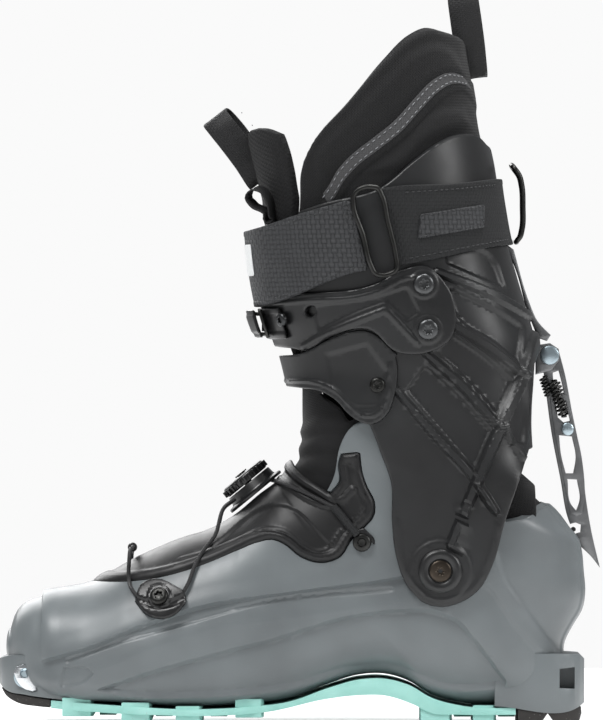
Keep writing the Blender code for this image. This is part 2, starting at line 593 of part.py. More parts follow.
def front_wraps():
    """The panel round the shin, and the arms that the buckle pulls together."""
    low = between(LEG_KEYS, leg_key(138), leg_key(192))
    panel = patch("front_panel", CUFF, low, 0.4, 2.4, PANEL_OUTLINE, "cover_black")
    high = between(LEG_KEYS, leg_key(172), leg_key(222))
    arm = patch("buckle_arm", CUFF, high, 0.4, 3.4, ARM_OUTLINE, "cuff_black", -ALL_Y, -8)
    boolean(arm, turned("hole", [(2.6, -1), (2.6, 99)], (4, -10, 196.5), (0, -1, 0), 12))
    ladder_arm = patch("ladder_arm", CUFF, high, 0.4, 3.4, ARM_OUTLINE, "cuff_black", 8, ALL_Y)
    made = [panel, arm, ladder_arm]
    for label, x, z in (("upper", 58, 209.5), ("lower", 60, 188)):
        y = CUFF.side(x, z, 3.4) - 0.35
        made.append(button("arm_screw_" + label, (x, y, z), (0, -1, 0), 5, 2.4))
    y = CUFF.side(36, 161.5, 2.4) - 0.5
    made.append(button("panel_rivet", (36, y, 161.5), (0, -1, 0), 3.7, 1.3, "cover_black"))
    return made


LATCH_LOW, LATCH_HIGH = 183.5, 198.0


def buckle():
    """The over-centre buckle at the front: base, lever and bail, and the ladder that the bail hooks on."""
    keys = between(LEG_KEYS, leg_key(176), leg_key(206))
    band = [(-60, LATCH_LOW), (10, LATCH_LOW), (10, LATCH_HIGH), (-60, LATCH_HIGH)]
    base = patch("buckle_base", CUFF, keys, 3.8, 5.6, band, "cover_black", -36, -10)
    narrow = [(-60, LATCH_LOW + 0.8), (10, LATCH_LOW + 0.8), (10, LATCH_HIGH - 0.8), (-60, LATCH_HIGH - 0.8)]
    lever = patch("buckle_lever", CUFF, keys, 9.3, 10.9, narrow, "cover_black", -24.6, 17)
    rack = patch("buckle_ladder", CUFF, keys, 3.8, 5.6, narrow, "cover_black", 13, 46)
    for y in (21, 27, 33, 39):
        rib = patch("tooth", CUFF, keys, 5.0, 7.4, [(-60, 188), (10, 188), (10, 193.5), (-60, 193.5)],
                    "cover_black", y - 0.9, y + 0.9)
        boolean(rack, rib, "UNION")
    wire = [(y, 195.6) for y in (-8, 0, 10, 18, 22.5)] + [(24.0, 193.6), (24.2, 188)]
    wire += [(y, 185.9) for y in (22.5, 18, 10, 0, -8)]
    bail = tube("buckle_bail", [(front_x(y, z, 6.7), y, z) for y, z in wire], 0.9, "dark_steel")
    foot, head = latch_axis(-24)
    pin = turned("buckle_pin", [(0.9, 0), (0.9, (head - foot).length)], foot, head - foot, 12, "dark_steel")
    screw_y = CUFF.side(-9.5, 192.6, 5.6) - 0.4
    screw = button("buckle_screw", (-9.5, screw_y, 192.6), (0, -1, 0), 3.6, 1.6)
    return base, lever, rack, bail, pin, screw


def latch_axis(y):
    """The two ends of a pin that lies along the cuff's front, y to the side of the middle."""
    return (Vector((front_x(y, z, 7.2), y, z)) for z in (LATCH_LOW + 0.8, LATCH_HIGH - 0.8))


def front_x(y, z, grow):
    """The x of the cuff's front at a height, y to the side of the middle."""
    start, way, near, far, half, middle, square_near, square_far, skew = CUFF.section(leg_key(z), grow)
    share = (1 - min(abs(y) / half, 1) ** square_near) ** (1 / square_near)
    return start[0] + (near + far) / 2 - share * (far - near) / 2


def power_strap():
    """The webbing strap round the top of the cuff, and the rectangular ring on its outer side."""
    keys = between(LEG_KEYS, leg_key(190), leg_key(270))
    front = patch("strap_front", CUFF, keys, 3.9, 6.1, STRAP_OUTLINE, "webbing")
    behind = [(41.2, 180), (140, 180), (140, 300), (10.4, 300)]
    boolean(front, prism("off", behind, -ALL_Y, 0))
    boolean(front, prism("off_inner", [(92, 180), (140, 180), (140, 300), (92, 300)], -1, ALL_Y))
    rear = patch("strap_rear", CUFF, keys, 0.5, 2.7, STRAP_OUTLINE, "webbing")
    boolean(rear, prism("off", [(57.5, 180), (21.9, 300), (-60, 300), (-60, 180)], -ALL_Y, 0))
    boolean(rear, prism("off_inner", [(88, 180), (-60, 180), (-60, 300), (88, 300)], 0, ALL_Y))
    corners = [(25.6, 251.6), (28.6, 254.6), (34, 255), (37.4, 252.6), (45.4, 219), (43.6, 215.2),
               (38.8, 213.6), (34.8, 215.8)]
    ring = [(x, CUFF.side(x, z, 4.6), z) for x, z in corners]
    ring = tube("strap_ring", ring, 1.25, "dark_steel", closed=True)
    return front, rear, ring


def rear_ring():
    points = [(101.4, -9, 266.5), (105.4, -8.6, 259), (106, -8.6, 236), (103.2, -9, 230.4),
              (103.2, 9, 230.4), (106, 8.6, 236), (105.4, 8.6, 259), (101.4, 9, 266.5)]
    return tube("rear_strap_ring", points, 1.25, "dark_steel", closed=True)


def leg_liner():
    """The liner's leg, its tongue and the three loops sewn to them."""
    upper = between(LEG_KEYS[::2], 50, 158)
    leg = CUFF.body("liner_leg", upper, -3.6, "foam")
    boolean(leg, CUFF.body("core", [40] + upper[1:-1] + [162], -10.5))
    boolean(leg, prism("window", COLLAR_OUTLINE, -ALL_Y, ALL_Y), "INTERSECT")
    tongue_keys = between(LEG_KEYS, leg_key(160), 137)
    tongue = patch("liner_tongue", CUFF, tongue_keys, -9.5, -4.2, TONGUE_OUTLINE, "foam")
    return leg, tongue


def ribbon(name, path, half, thick, finish="webbing"):
    """A flat loop of ribbon: a closed side-view path, given thickness and extruded across the boot."""
    inner = wider(path, -thick)
    loop = prism(name, path, -half, half, finish)
    return boolean(loop, prism("eye", inner, -half - 1, half + 1))


def loops():
    front_side = [(-21.4, 285.2), (-28, 291.5), (-36, 296), (-41, 295.4), (-46, 289), (-43, 279.5),
                  (-36, 268.5), (-30.2, 262.4), (-24.4, 262), (-23.6, 274)]
    rear_side = [(82.6, 307), (86, 309), (89, 320), (90, 336), (88, 350), (82, 356.5), (74.6, 352),
                 (71.8, 340), (73, 333), (78, 332), (82, 329.5), (82.4, 318)]
    tab_side = [(-15.4, 239.4), (-15.4, 243.5), (-23.6, 247), (-26.4, 252), (-23.5, 256.6), (-18, 256.2),
                (-14.4, 250), (-13, 243), (-13, 239.4)]
    front = ribbon("pull_loop_front", front_side, 6.5, 1.6)
    rear = ribbon("pull_loop_rear", rear_side, 7, 1.6)
    tab = ribbon("strap_tab", tab_side, 5, 0.9)
    tab.data.transform(Matrix.Translation((0, -30 * MM, 0)))
    return front, rear, tab


# ---------------------------------------------------------------- walk mechanism


def walk_mechanism():
    """The bar and bracket on the cuff's rear, and the lever that locks the cuff to the heel."""
    rail = [(99.4, 226.4), (101.6, 226.4), (108.8, 202), (113.2, 192), (119.4, 185.4), (117.6, 182.6),
            (113.4, 184), (110.6, 190), (106, 199)]
    bar = prism("lock_bar", rail, -3.6, 3.6, "lever_metal")
    boolean(bar, CUFF.body("core", between(LEG_KEYS, leg_key(170), leg_key(240)), GAP))
    cheek = [(112.2, 166.5), (119.6, 168.4), (123.6, 173.6), (123.2, 178.8), (119, 181.6), (112.2, 180.6)]
    bracket = prism("lock_bracket", cheek, -5, 5, "lever_metal")
    boolean(bracket, prism("slot", [(112.9, 160), (130, 160), (130, 190), (112.9, 190)], -2.1, 2.1))
    boolean(bracket, turned("eye", [(3.3, -9), (3.3, 9)], (LEVER_X, 0, LEVER_Z), (0, 1, 0), 16))
    lever = prism("walk_lever", LEVER_OUTLINE, -1.5, 1.5, "lever_metal")
    for window in LEVER_WINDOWS:
        boolean(lever, prism("window", window, -3, 3))
    boolean(lever, turned("eye", [(3.3, -9), (3.3, 9)], (LEVER_X, 0, LEVER_Z), (0, 1, 0), 16))
    rivet = turned("lever_rivet", [(4.6, -6.9), (4.6, -5.4), (2.9, -5.4), (2.9, 5.4), (4.6, 5.4), (4.6, 6.9)],
                   (LEVER_X, 0, LEVER_Z), (0, 1, 0), 16, "zinc")
    coil = [(2.1, 0), (2.1, 17)]
    spring = turned("lever_spring", coil, (121.2, -4.4, 161), (0.33, 0, -0.944), 10, "dark_steel")
    return bar, bracket, lever, rivet, spring


LEVER_WINDOWS = [
    [(120.4, 167.4), (123.2, 168.4), (124.6, 163), (125.8, 157), (121, 158.6)],
    [(121.6, 155.2), (126.4, 154.2), (128.6, 144.4), (125.6, 143.6), (122.8, 146)],
    [(123.4, 137.4), (129.6, 136.8), (131.4, 126.8), (130.2, 119.2), (126.6, 119.2), (124.4, 128)],
    [(127.4, 116.4), (132, 116.2), (133.2, 106), (131.6, 101.4), (129.4, 104)],
]


# ---------------------------------------------------------------- assembly


def body_at(name, place):
    """An empty on a joint's axis, which carries the pieces that turn or slide there."""
    made = bpy.data.objects.new(name, None)
    made.location = [c * MM for c in place]
    bpy.context.scene.collection.objects.link(made)
    bpy.context.view_layer.update()
    return made


def carry(parent, pieces):
    for piece in pieces:
        piece.parent = parent
        piece.matrix_parent_inverse = parent.matrix_world.inverted()


def shade(piece):
    if piece.type == "MESH":
        piece.data.shade_smooth()
        piece.data.set_sharp_from_angle(angle=math.radians(35))


def main():
    for piece in list(bpy.data.objects):
        bpy.data.objects.remove(piece)
    lower = [lower_shell(), sole(), instep_cover(), *sole_ends(), *inserts(), *gaiters(), *foot_liner()]
    lower += lacing() + pivots() + lock_pins()
    pivot_holes(bpy.data.objects["lower_shell"], 6.9)
    cup, spool, stem, knob = dial()
    cuff = cuff_shell()
    pivot_holes(cuff, 6.9)
    base, buckle_lever, rack, bail, pin, screw = buckle()
    strap_front, strap_rear, ring = power_strap()
    bar, bracket, lever, rivet, spring = walk_mechanism()
    on_cuff = [cuff, *front_wraps(), base, rack, pin, screw, strap_front, strap_rear, *leg_liner(), *loops(),
               bar, bracket, rivet]
    hinge = body_at("cuff_axis", (PIVOT_X, 0, PIVOT_Z))
    carry(hinge, on_cuff)
    for name, place, pieces in (
        ("lever_axis", (LEVER_X, 0, LEVER_Z), [lever, spring]),
        ("buckle_axis", sum(latch_axis(-24), Vector()) / 2, [buckle_lever]),
        ("ring_axis", (41, CUFF.side(41, 235, 4.6), 235), [ring]),
        ("rear_ring_axis", (103.2, 0, 230.4), [rear_ring()]),
    ):
        axis = body_at(name, place)
        carry(axis, pieces)
        carry(hinge, [axis])
    bail_axis = body_at("bail_axis", sum(latch_axis(-8), Vector()) / 2)
    carry(bail_axis, [bail])
    carry(bpy.data.objects["buckle_axis"], [bail_axis])
    stem_axis = body_at("dial_axis", DIAL_AT)
    carry(stem_axis, [stem, knob])
    carry(body_at("spool_axis", DIAL_AT), [spool])
    carry(bpy.data.objects["lower_shell"], [*lower[1:], cup])
    for piece in bpy.data.objects:
        shade(piece)


main()
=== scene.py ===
# %% [markdown]
# # A ski-touring boot, piece by piece
# This lesson builds the looks of a left ski-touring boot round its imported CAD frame. The frame gives the
# sizes, the joints and the bodies. Every piece here is made in the frame's own coordinates: the toe points
# along -X, the outer side faces -Y, and the tread stands on z = 0. Outlines are side views, as (x, z) in mm.

# %% Load the frame
import math

import bmesh
import bpy
import numpy as np
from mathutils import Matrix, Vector


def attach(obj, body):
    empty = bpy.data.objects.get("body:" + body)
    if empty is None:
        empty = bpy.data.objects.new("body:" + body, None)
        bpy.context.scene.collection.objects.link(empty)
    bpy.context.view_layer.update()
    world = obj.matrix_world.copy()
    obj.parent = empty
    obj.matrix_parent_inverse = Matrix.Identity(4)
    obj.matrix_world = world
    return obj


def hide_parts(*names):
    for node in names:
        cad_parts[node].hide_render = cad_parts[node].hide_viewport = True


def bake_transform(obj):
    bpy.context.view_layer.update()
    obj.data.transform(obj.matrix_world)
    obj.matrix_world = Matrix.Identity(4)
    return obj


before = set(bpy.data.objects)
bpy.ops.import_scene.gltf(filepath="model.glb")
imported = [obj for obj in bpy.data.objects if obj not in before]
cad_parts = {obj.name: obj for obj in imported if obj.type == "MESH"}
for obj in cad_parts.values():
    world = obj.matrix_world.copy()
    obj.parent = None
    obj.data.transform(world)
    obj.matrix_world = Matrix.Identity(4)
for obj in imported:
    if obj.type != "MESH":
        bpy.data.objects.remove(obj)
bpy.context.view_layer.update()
MM = 0.001

# %% [markdown]
# ## Nodes, for shaders and for shapes
# Blender describes both a surface finish and a repeated shape as a tree of nodes. One small function adds a
# node of any kind, sets its settings, and links or fills its inputs, so each finish below reads as a recipe.

# %% One function for every node


def add(tree, kind, links=None, **settings):
    """A new node. An input given as a socket is linked, and any other value is set on it."""
    node = tree.nodes.new(kind)
    for name, value in settings.items():
        setattr(node, name, value)
    for socket, value in (links or {}).items():
        if isinstance(value, bpy.types.NodeSocket):
            tree.links.new(value, node.inputs[socket])
        else:
            node.inputs[socket].default_value = value
    return node


def linear(code):
    """An sRGB hex colour as linear RGBA."""
    channels = [int(code[i:i + 2], 16) / 255 for i in (0, 2, 4)]
    return (*[c / 12.92 if c <= 0.04045 else ((c + 0.055) / 1.055) ** 2.4 for c in channels], 1)


def ramp(tree, value, low, high, start=0.0, end=1.0):
    """A colour that goes from hex low to hex high while value goes from start to end."""
    node = add(tree, "ShaderNodeValToRGB", {0: value})
    node.color_ramp.elements[0].position = start
    node.color_ramp.elements[1].position = end
    node.color_ramp.elements[0].color = linear(low)
    node.color_ramp.elements[1].color = linear(high)
    return node.outputs[0]


def finish_of(name, uv=False, **settings):
    """A material with one Principled shader, its tree, the shader, and the coordinates its pattern reads."""
    made = bpy.data.materials.new(name)
    made.use_nodes = True
    tree = made.node_tree
    shader = tree.nodes["Principled BSDF"]
    for socket, value in settings.items():
        shader.inputs[socket.replace("_", " ").title()].default_value = value
    place = add(tree, "ShaderNodeTexCoord").outputs["UV" if uv else "Object"]
    return made, tree, shader, place


def grain(tree, place, size_mm, detail=3.0, stretch=(1, 1, 1), rough=0.5):
    """Noise whose features are size_mm across, on coordinates in metres."""
    scaled = add(tree, "ShaderNodeMapping", {0: place, 3: [s / (size_mm * MM) for s in stretch]})
    noise = add(tree, "ShaderNodeTexNoise",
                {0: scaled.outputs[0], "Scale": 1.0, "Detail": detail, "Roughness": rough})
    return noise.outputs[0]


def bump(tree, shader, height, depth_mm, strength=1.0, under=None):
    """Bump from a 0 to 1 height, depth_mm deep, over an earlier bump if there is one."""
    links = {"Height": height, "Distance": depth_mm * MM, "Strength": strength}
    if under is not None:
        links["Normal"] = under
    node = add(tree, "ShaderNodeBump", links)
    tree.links.new(node.outputs[0], shader.inputs["Normal"])
    return node.outputs[0]


def spread(tree, value, low, high):
    """A 0 to 1 value carried to low to high, for a roughness."""
    return add(tree, "ShaderNodeMapRange", {0: value, 3: low, 4: high}).outputs[0]


def maths(tree, operation, first, second=0.0, third=None):
    links = {0: first, 1: second}
    if third is not None:
        links[2] = third
    return add(tree, "ShaderNodeMath", links, operation=operation).outputs[0]


# %% [markdown]
# ## Smooth lines and distances
# A boot is drawn, not dimensioned: its outlines are a few measured points with smooth curves through them,
# and corners only where the part has them. A signed distance to such an outline (positive inside) then does
# most of the work. Where it is zero the wall is cut, and near zero it rounds the edge or raises a rib.

# %% Curves through points, and distances to them


def curve_through(points, step=1.5, closed=False, corner=50.0):
    """Points about `step` apart on a smooth curve through the given ones.
    Sharper turns than `corner` stay."""
    given = np.array(points, float)
    count = len(given)
    chords = np.roll(given, -1, axis=0) - given
    sizes = np.maximum(np.linalg.norm(chords, axis=1), 1e-6)
    ways = chords / sizes[:, None]

    def tangent(i, leaving):
        i %= count
        if not closed and i == 0:
            return ways[0]
        if not closed and i == count - 1:
            return ways[count - 2]
        if np.degrees(np.arccos(np.clip(ways[i - 1] @ ways[i], -1, 1))) > corner:
            return ways[i] if leaving else ways[i - 1]
        mixed = ways[i - 1] * sizes[i] + ways[i] * sizes[i - 1]
        return mixed / np.linalg.norm(mixed)

    pieces = []
    for i in range(count if closed else count - 1):
        start, end = given[i], given[(i + 1) % count]
        first, last = tangent(i, True) * sizes[i], tangent(i + 1, False) * sizes[i]
        spans = max(1, round(sizes[i] / step))
        t = (np.arange(spans) / spans)[:, None]
        pieces.append((2 * t**3 - 3 * t**2 + 1) * start + (t**3 - 2 * t**2 + t) * first
                      + (3 * t**2 - 2 * t**3) * end + (t**3 - t**2) * last)
    if not closed:
        pieces.append(given[-1:])
    return np.concatenate(pieces)


def line_distance(line, x, z, closed=False):
    """The distance from each point to a line of points, and for a closed one whether it is inside."""
    line = np.asarray(line, float)
    ends = np.roll(line, -1, axis=0) if closed else line[1:]
    best = np.full(len(x), 1e9)
    inside = np.zeros(len(x), bool)
    for (ax, az), (bx, bz) in zip(line, ends):
        dx, dz = bx - ax, bz - az
        share = np.clip(((x - ax) * dx + (z - az) * dz) / (dx * dx + dz * dz + 1e-12), 0, 1)
        best = np.minimum(best, np.hypot(x - ax - share * dx, z - az - share * dz))
        if closed and az != bz:
            inside ^= ((az > z) != (bz > z)) & (x < dx * (z - az) / dz + ax)
    return best, inside


def area_field(outline):
    """A field: mm inside a closed side-view outline, on both sides of the boot."""
    outline = curve_through(outline, 3.0, closed=True)

    def field(p):
        best, inside = line_distance(outline, p[:, 0], p[:, 2], True)
        return np.where(inside, best, -best)
    return field


def stroke_field(line, half, taper=0.0):
    """A field: mm inside a stroke of a half width along an open line, thinner towards its ends if tapered."""
    line = curve_through(line, 3.0)
    middle = (line[0] + line[-1]) / 2
    reach = np.linalg.norm(line - middle, axis=1).max()

    def field(p):
        best, _ = line_distance(line, p[:, 0], p[:, 2])
        away = np.hypot(p[:, 0] - middle[0], p[:, 2] - middle[1]) / reach
        return half * (1 - taper * np.clip(away, 0, 1) ** 2) - best
    return field


def step_up(value, start, end):
    """0 before start, 1 after end, and smooth between."""
    t = np.clip((value - start) / (end - start), 0, 1)
    return t * t * (3 - 2 * t)


print("a test curve has", len(curve_through([(0, 0), (10, 0), (10, 10)])), "points")

# %% [markdown]
# ## The two skins
# The plastic parts of a boot are moulded round two lasts: one for the foot and one for the cuff. Each last is
# a stack of cross-sections. They stand upright along the toes, fan round a point in front of the ankle, and
# lie flat up the leg. A section is a squared ellipse: near the front or instep end it can be rounder than at
# the sole or rear end. Any wall, strap or liner is then the same skin, grown by so many millimetres.

# %% Sections of the skin

FAN = (-30.0, 140.0)
LEG_KEY = FAN[0] + 90


def plane_of(key):
    """The start and the direction of a section in the side view."""
    if key < FAN[0]:
        return np.array((key, FAN[1])), np.array((0.0, -1.0))
    if key <= LEG_KEY:
        angle = math.radians(key - FAN[0])
        return np.array(FAN), np.array((math.sin(angle), -math.cos(angle)))
    return np.array((FAN[0], FAN[1] + 2 * (key - LEG_KEY))), np.array((1.0, 0.0))


def leg_key(z):
    return LEG_KEY + (z - FAN[1]) / 2


def key_of(x, z):
    """The key of the section through a point of the side view."""
    if z > FAN[1] and x > FAN[0]:
        return leg_key(z)
    if x < FAN[0]:
        return x
    return FAN[0] + math.degrees(math.atan2(x - FAN[0], FAN[1] - z))


def reach(outline, start, way):
    """How far along a ray from start the outline is crossed first."""
    a, b = outline[:-1], outline[1:]
    d, e = b - a, a - start
    cross = way[0] * d[:, 1] - way[1] * d[:, 0]
    cross = np.where(np.abs(cross) < 1e-9, 1e-9, cross)
    along = (e[:, 0] * d[:, 1] - e[:, 1] * d[:, 0]) / cross
    share = (e[:, 0] * way[1] - e[:, 1] * way[0]) / cross
    hits = along[(share >= -1e-6) & (share <= 1 + 1e-6)]
    return hits[np.argmin(np.abs(hits))]


def settle(values, width):
    """A running weighted mean, with the ends held."""
    size = int(3 * width)
    weights = np.exp(-0.5 * (np.arange(-size, size + 1) / width) ** 2)
    padded = np.concatenate([np.full(size, values[0]), values, np.full(size, values[-1])])
    return np.convolve(padded, weights / weights.sum(), "valid")


class Skin:
    """Front and rear outlines, and a table of key, half width, place of the widest point, squareness near
    and far, and skew."""

    def __init__(self, front, rear, table):
        self.front, self.rear = curve_through(front, 1.5), curve_through(rear, 1.5)
        table = np.array(table, float).T
        self.keys = np.arange(table[0, 0], table[0, -1] + 0.01, 0.25)
        self.rows = [settle(np.interp(self.keys, table[0], row), 5) for row in table[1:]]

    def section(self, key, grow):
        start, way = plane_of(key)
        near, far = reach(self.front, start, way) - grow, reach(self.rear, start, way) + grow
        half, middle, near_square, far_square, skew = (np.interp(key, self.keys, row) for row in self.rows)
        return start, way, near, far, half + grow, middle, near_square, far_square, skew

    def ring(self, key, phi, grow):
        """Points of a section. phi is 0 at the front, half a turn at the rear, and positive on +Y."""
        start, way, near, far, half, middle, near_square, far_square, skew = self.section(key, grow)
        c, s = -np.cos(phi), np.sin(phi)
        power = 2 / np.where(c > 0, far_square, near_square)
        end = np.where(c > 0, 1 - middle, 1 + middle)
        share = middle + np.sign(c) * np.abs(c) ** power * end
        along = (near + far) / 2 + share * (far - near) / 2
        across = skew + half * np.sign(s) * np.abs(s) ** power
        return np.stack([start[0] + along * way[0], across, start[1] + along * way[1]], axis=1)

    def side(self, x, z, grow=0.0, way=-1):
        """The skin's y at a point of the side view, on the outer (-1) or the inner side (+1)."""
        start, ahead, near, far, half, middle, near_square, far_square, skew = self.section(key_of(x, z),
                                                                                            grow)
        along = (np.array((x, z)) - start) @ ahead
        share = (along - (near + far) / 2) / ((far - near) / 2) - middle
        power = far_square if share > 0 else near_square
        share = min(abs(share) / (1 - middle if share > 0 else 1 + middle), 1)
        return skew + way * half * (1 - share**power) ** (1 / power)

    def over(self, x, z, grow=0.0, way=-1):
        return (x, self.side(x, z, grow, way), z)

    def front_x(self, y, z, grow):
        """The x of the front of the leg at a height, y to the side of the middle."""
        start, _, near, far, half, middle, square, _, _ = self.section(leg_key(z), grow)
        share = (1 - min(abs(y) / half, 1) ** square) ** (1 / square)
        return start[0] + (near + far) / 2 - share * (far - near) / 2

    def grid(self, keys, across, grow, thick):
        """Rows of points: outer xyz, inner xyz, outward normal, mm round the ring and mm along the rows."""
        dense = np.linspace(-math.pi, math.pi, 1441)
        outer, inner, round_the_ring = [], [], []
        for key in keys:
            ring = self.ring(key, dense, grow)
            length = np.concatenate([[0], np.cumsum(np.linalg.norm(np.diff(ring, axis=0), axis=1))])
            length -= length[720]
            wanted = np.concatenate([np.linspace(length[0], 0, across // 2 + 1)[:-1],
                                     np.linspace(0, length[-1], across // 2 + 1)])
            phi = np.interp(wanted, length, dense)
            outer.append(self.ring(key, phi, grow))
            inner.append(self.ring(key, phi, grow - thick))
            round_the_ring.append(wanted)
        outer, inner, round_the_ring = np.array(outer), np.array(inner), np.array(round_the_ring)
        down, over = np.gradient(outer, axis=0), np.gradient(outer, axis=1)
        normal = np.cross(over, down)
        size = np.linalg.norm(normal, axis=2, keepdims=True)
        normal = normal / np.maximum(size, 1e-9)
        centre = outer.mean(axis=1, keepdims=True)
        if ((outer - centre) * normal).sum() < 0:
            normal = -normal
        steps = np.linalg.norm(np.diff(outer, axis=0), axis=2).mean(axis=1)
        rows = np.concatenate([[0], np.cumsum(steps)])
        rows = np.repeat(rows[:, None], outer.shape[1], axis=1)
        return np.concatenate([outer, inner, normal, round_the_ring[..., None], rows[..., None]], axis=2)


SHELL = Skin(
    front=[(-141, 34), (-139.6, 44.6), (-136.4, 53.7), (-129.7, 60.2), (-120.5, 63.7), (-100.4, 68.0),
           (-77.4, 79.8), (-58.2, 88.0), (-43.9, 92.6), (-33.3, 98.4), (-21, 108.4), (-9, 118.6),
           (-5.5, 126), (-4.2, 135), (-4.2, 150), (-4.2, 200)],
    rear=[(-141, 33.5), (-138, 24), (-131, 16), (-119.6, 11.9), (-89.4, 9.9), (-52.5, 8.1), (-25, 9.2),
          (-6.5, 11.6), (14.1, 19.0), (27.1, 22.8), (40, 23.3), (51, 20.1), (62.1, 13.3), (76.4, 9.5),
          (102.3, 8.4), (116, 9.0), (123, 14), (125.3, 25), (125.5, 38), (129.6, 46.5), (134.3, 54.6),
          (135.6, 63), (134.9, 72), (134, 82), (132.5, 88), (129, 92), (122.5, 100.7), (118, 105),
          (110, 113), (103, 125), (99, 140), (99, 200)],
    table=[(-139.4, 19, 0.0, 2.2, 2.2, 8.0), (-136, 28, 0.1, 2.3, 2.6, 7.6), (-130, 36, 0.25, 2.4, 3.2, 7.0),
           (-120, 42, 0.3, 2.4, 5, 6.0), (-105, 46, 0.35, 2.3, 6, 4.6), (-85, 48.6, 0.35, 2.3, 6.5, 3.0),
           (-65, 49.4, 0.3, 2.3, 6.5, 1.5), (-45, 48.4, 0.25, 2.4, 6.5, 0.5), (-30, 47, 0.2, 2.5, 6, 0),
           (-15, 45.6, 0.1, 2.8, 5, 0), (-4, 44.8, 0.0, 3, 4.5, 0), (10, 44.8, -0.05, 3, 3.6, 0),
           (25, 44.6, -0.1, 3, 2.8, 0), (40, 44.6, -0.1, 2.9, 2.6, 0), (60, 44.6, 0, 2.7, 2.7, 0),
           (80, 44.6, 0, 2.7, 2.7, 0)],
)
CUFF = Skin(
    front=[(-20, 100), (-8, 118), (-2, 135), (-3, 150), (-6, 165), (-10, 180), (-15, 193), (-18, 206),
           (-20.5, 222), (-22, 240), (-22.5, 255), (-22.5, 380)],
    rear=[(-25, -10), (60, -10), (130, 20), (155, 60), (150, 90), (125, 112), (111.5, 128), (110.3, 138),
          (110.3, 150), (111.3, 165), (111.6, 184), (108.4, 196), (103.4, 213), (98.4, 231), (95.3, 248),
          (92.5, 267), (88.6, 285), (86.5, 300), (83, 320), (77, 380)],
    table=[(-20, 48.6, 0, 4, 6, 0), (30, 48.6, 0, 4, 6, 0), (50, 48.6, 0, 4, 4.5, 0),
           (60, 48.7, 0, 3.6, 3.8, 0),
           (73, 49.5, 0, 2.8, 3.2, 0), (88, 52, 0, 2.4, 2.7, 0), (105, 53.2, 0, 2.3, 2.5, 0),
           (118, 53.6, 0, 2.3, 2.4, 0), (130, 52.6, 0, 2.2, 2.4, 0), (158, 49, 0, 2.2, 2.3, 0)],
)
PIVOT = (65.9, 73.3)
print("shell half width at the ball of the foot:", round(SHELL.section(-65, 0)[4], 1), "mm")

# %% [markdown]
# ## Cutting a wall out of a skin
# A moulded wall is a sheet of even thickness with crisp, slightly rounded edges. A boolean would leave ragged
# slivers, so the sheet is a fine grid instead, and each face that an outline crosses is split exactly on the
# line. The same splitting puts a clean row of points along each rib and step, so that relief stays sharp.

# %% Splitting faces on a level line


def split(points, faces, value, level=0.0):
    """Cuts each face where value crosses level. Returns the points and faces again."""
    value = value - level
    value[np.abs(value) < 0.02] = 0
    sizes = np.fromiter(map(len, faces), int, len(faces))
    starts = np.concatenate([[0], np.cumsum(sizes)[:-1]])
    flat = value[np.fromiter((i for face in faces for i in face), int, sizes.sum())]
    crossed = (np.minimum.reduceat(flat, starts) < 0) & (np.maximum.reduceat(flat, starts) > 0)
    fresh, known, result = [], {}, [face for face, cut in zip(faces, crossed) if not cut]

    def crossing(a, b):
        pair = (min(a, b), max(a, b))
        if pair not in known:
            share = value[pair[0]] / (value[pair[0]] - value[pair[1]])
            known[pair] = len(points) + len(fresh)
            fresh.append(points[pair[0]] + share * (points[pair[1]] - points[pair[0]]))
        return known[pair]

    for face in (face for face, cut in zip(faces, crossed) if cut):
        low, high = [], []
        for a, b in zip(face, face[1:] + face[:1]):
            if value[a] >= 0:
                high.append(a)
            if value[a] <= 0:
                low.append(a)
            if value[a] * value[b] < 0:
                low.append(crossing(a, b))
                high.append(low[-1])
        result += [part for part in (low, high) if len(part) > 2]
    return (np.concatenate([points, np.array(fresh)]) if fresh else points), result


def keep_above(points, faces, value, level=0.0):
    """Drops the faces whose middle lies below level, and the points that no face uses."""
    kept = [face for face in faces if value[face].mean() > level]
    used = np.unique(np.fromiter((i for face in kept for i in face), int))
    new = np.full(len(points), -1)
    new[used] = np.arange(len(used))
    return points[used], [[int(new[i]) for i in face] for face in kept]


def mesh_object(name, points, faces, material, uv=None, sharp=35.0, merge=0.002):
    """An object from mm points. uv is per point; points closer than merge are joined, their UVs kept."""
    mesh = bpy.data.meshes.new(name)
    mesh.from_pydata((np.asarray(points) * MM).tolist(), [], faces)
    if uv is not None:
        layer = mesh.uv_layers.new(name="UVMap")
        corners = np.empty(len(mesh.loops), int)
        mesh.loops.foreach_get("vertex_index", corners)
        layer.data.foreach_set("uv", (np.asarray(uv)[corners] * MM).astype(np.float32).ravel())
    work = bmesh.new()
    work.from_mesh(mesh)
    if merge:
        bmesh.ops.remove_doubles(work, verts=work.verts, dist=merge * MM)
        bmesh.ops.dissolve_degenerate(work, edges=work.edges, dist=merge * MM)
    bmesh.ops.recalc_face_normals(work, faces=work.faces)
    work.to_mesh(mesh)
    work.free()
    mesh.shade_smooth()
    mesh.set_sharp_from_angle(angle=math.radians(sharp))
    mesh.materials.append(material)
    made = bpy.data.objects.new(name, mesh)
    bpy.context.scene.collection.objects.link(made)
    return made


# %% From grid to wall


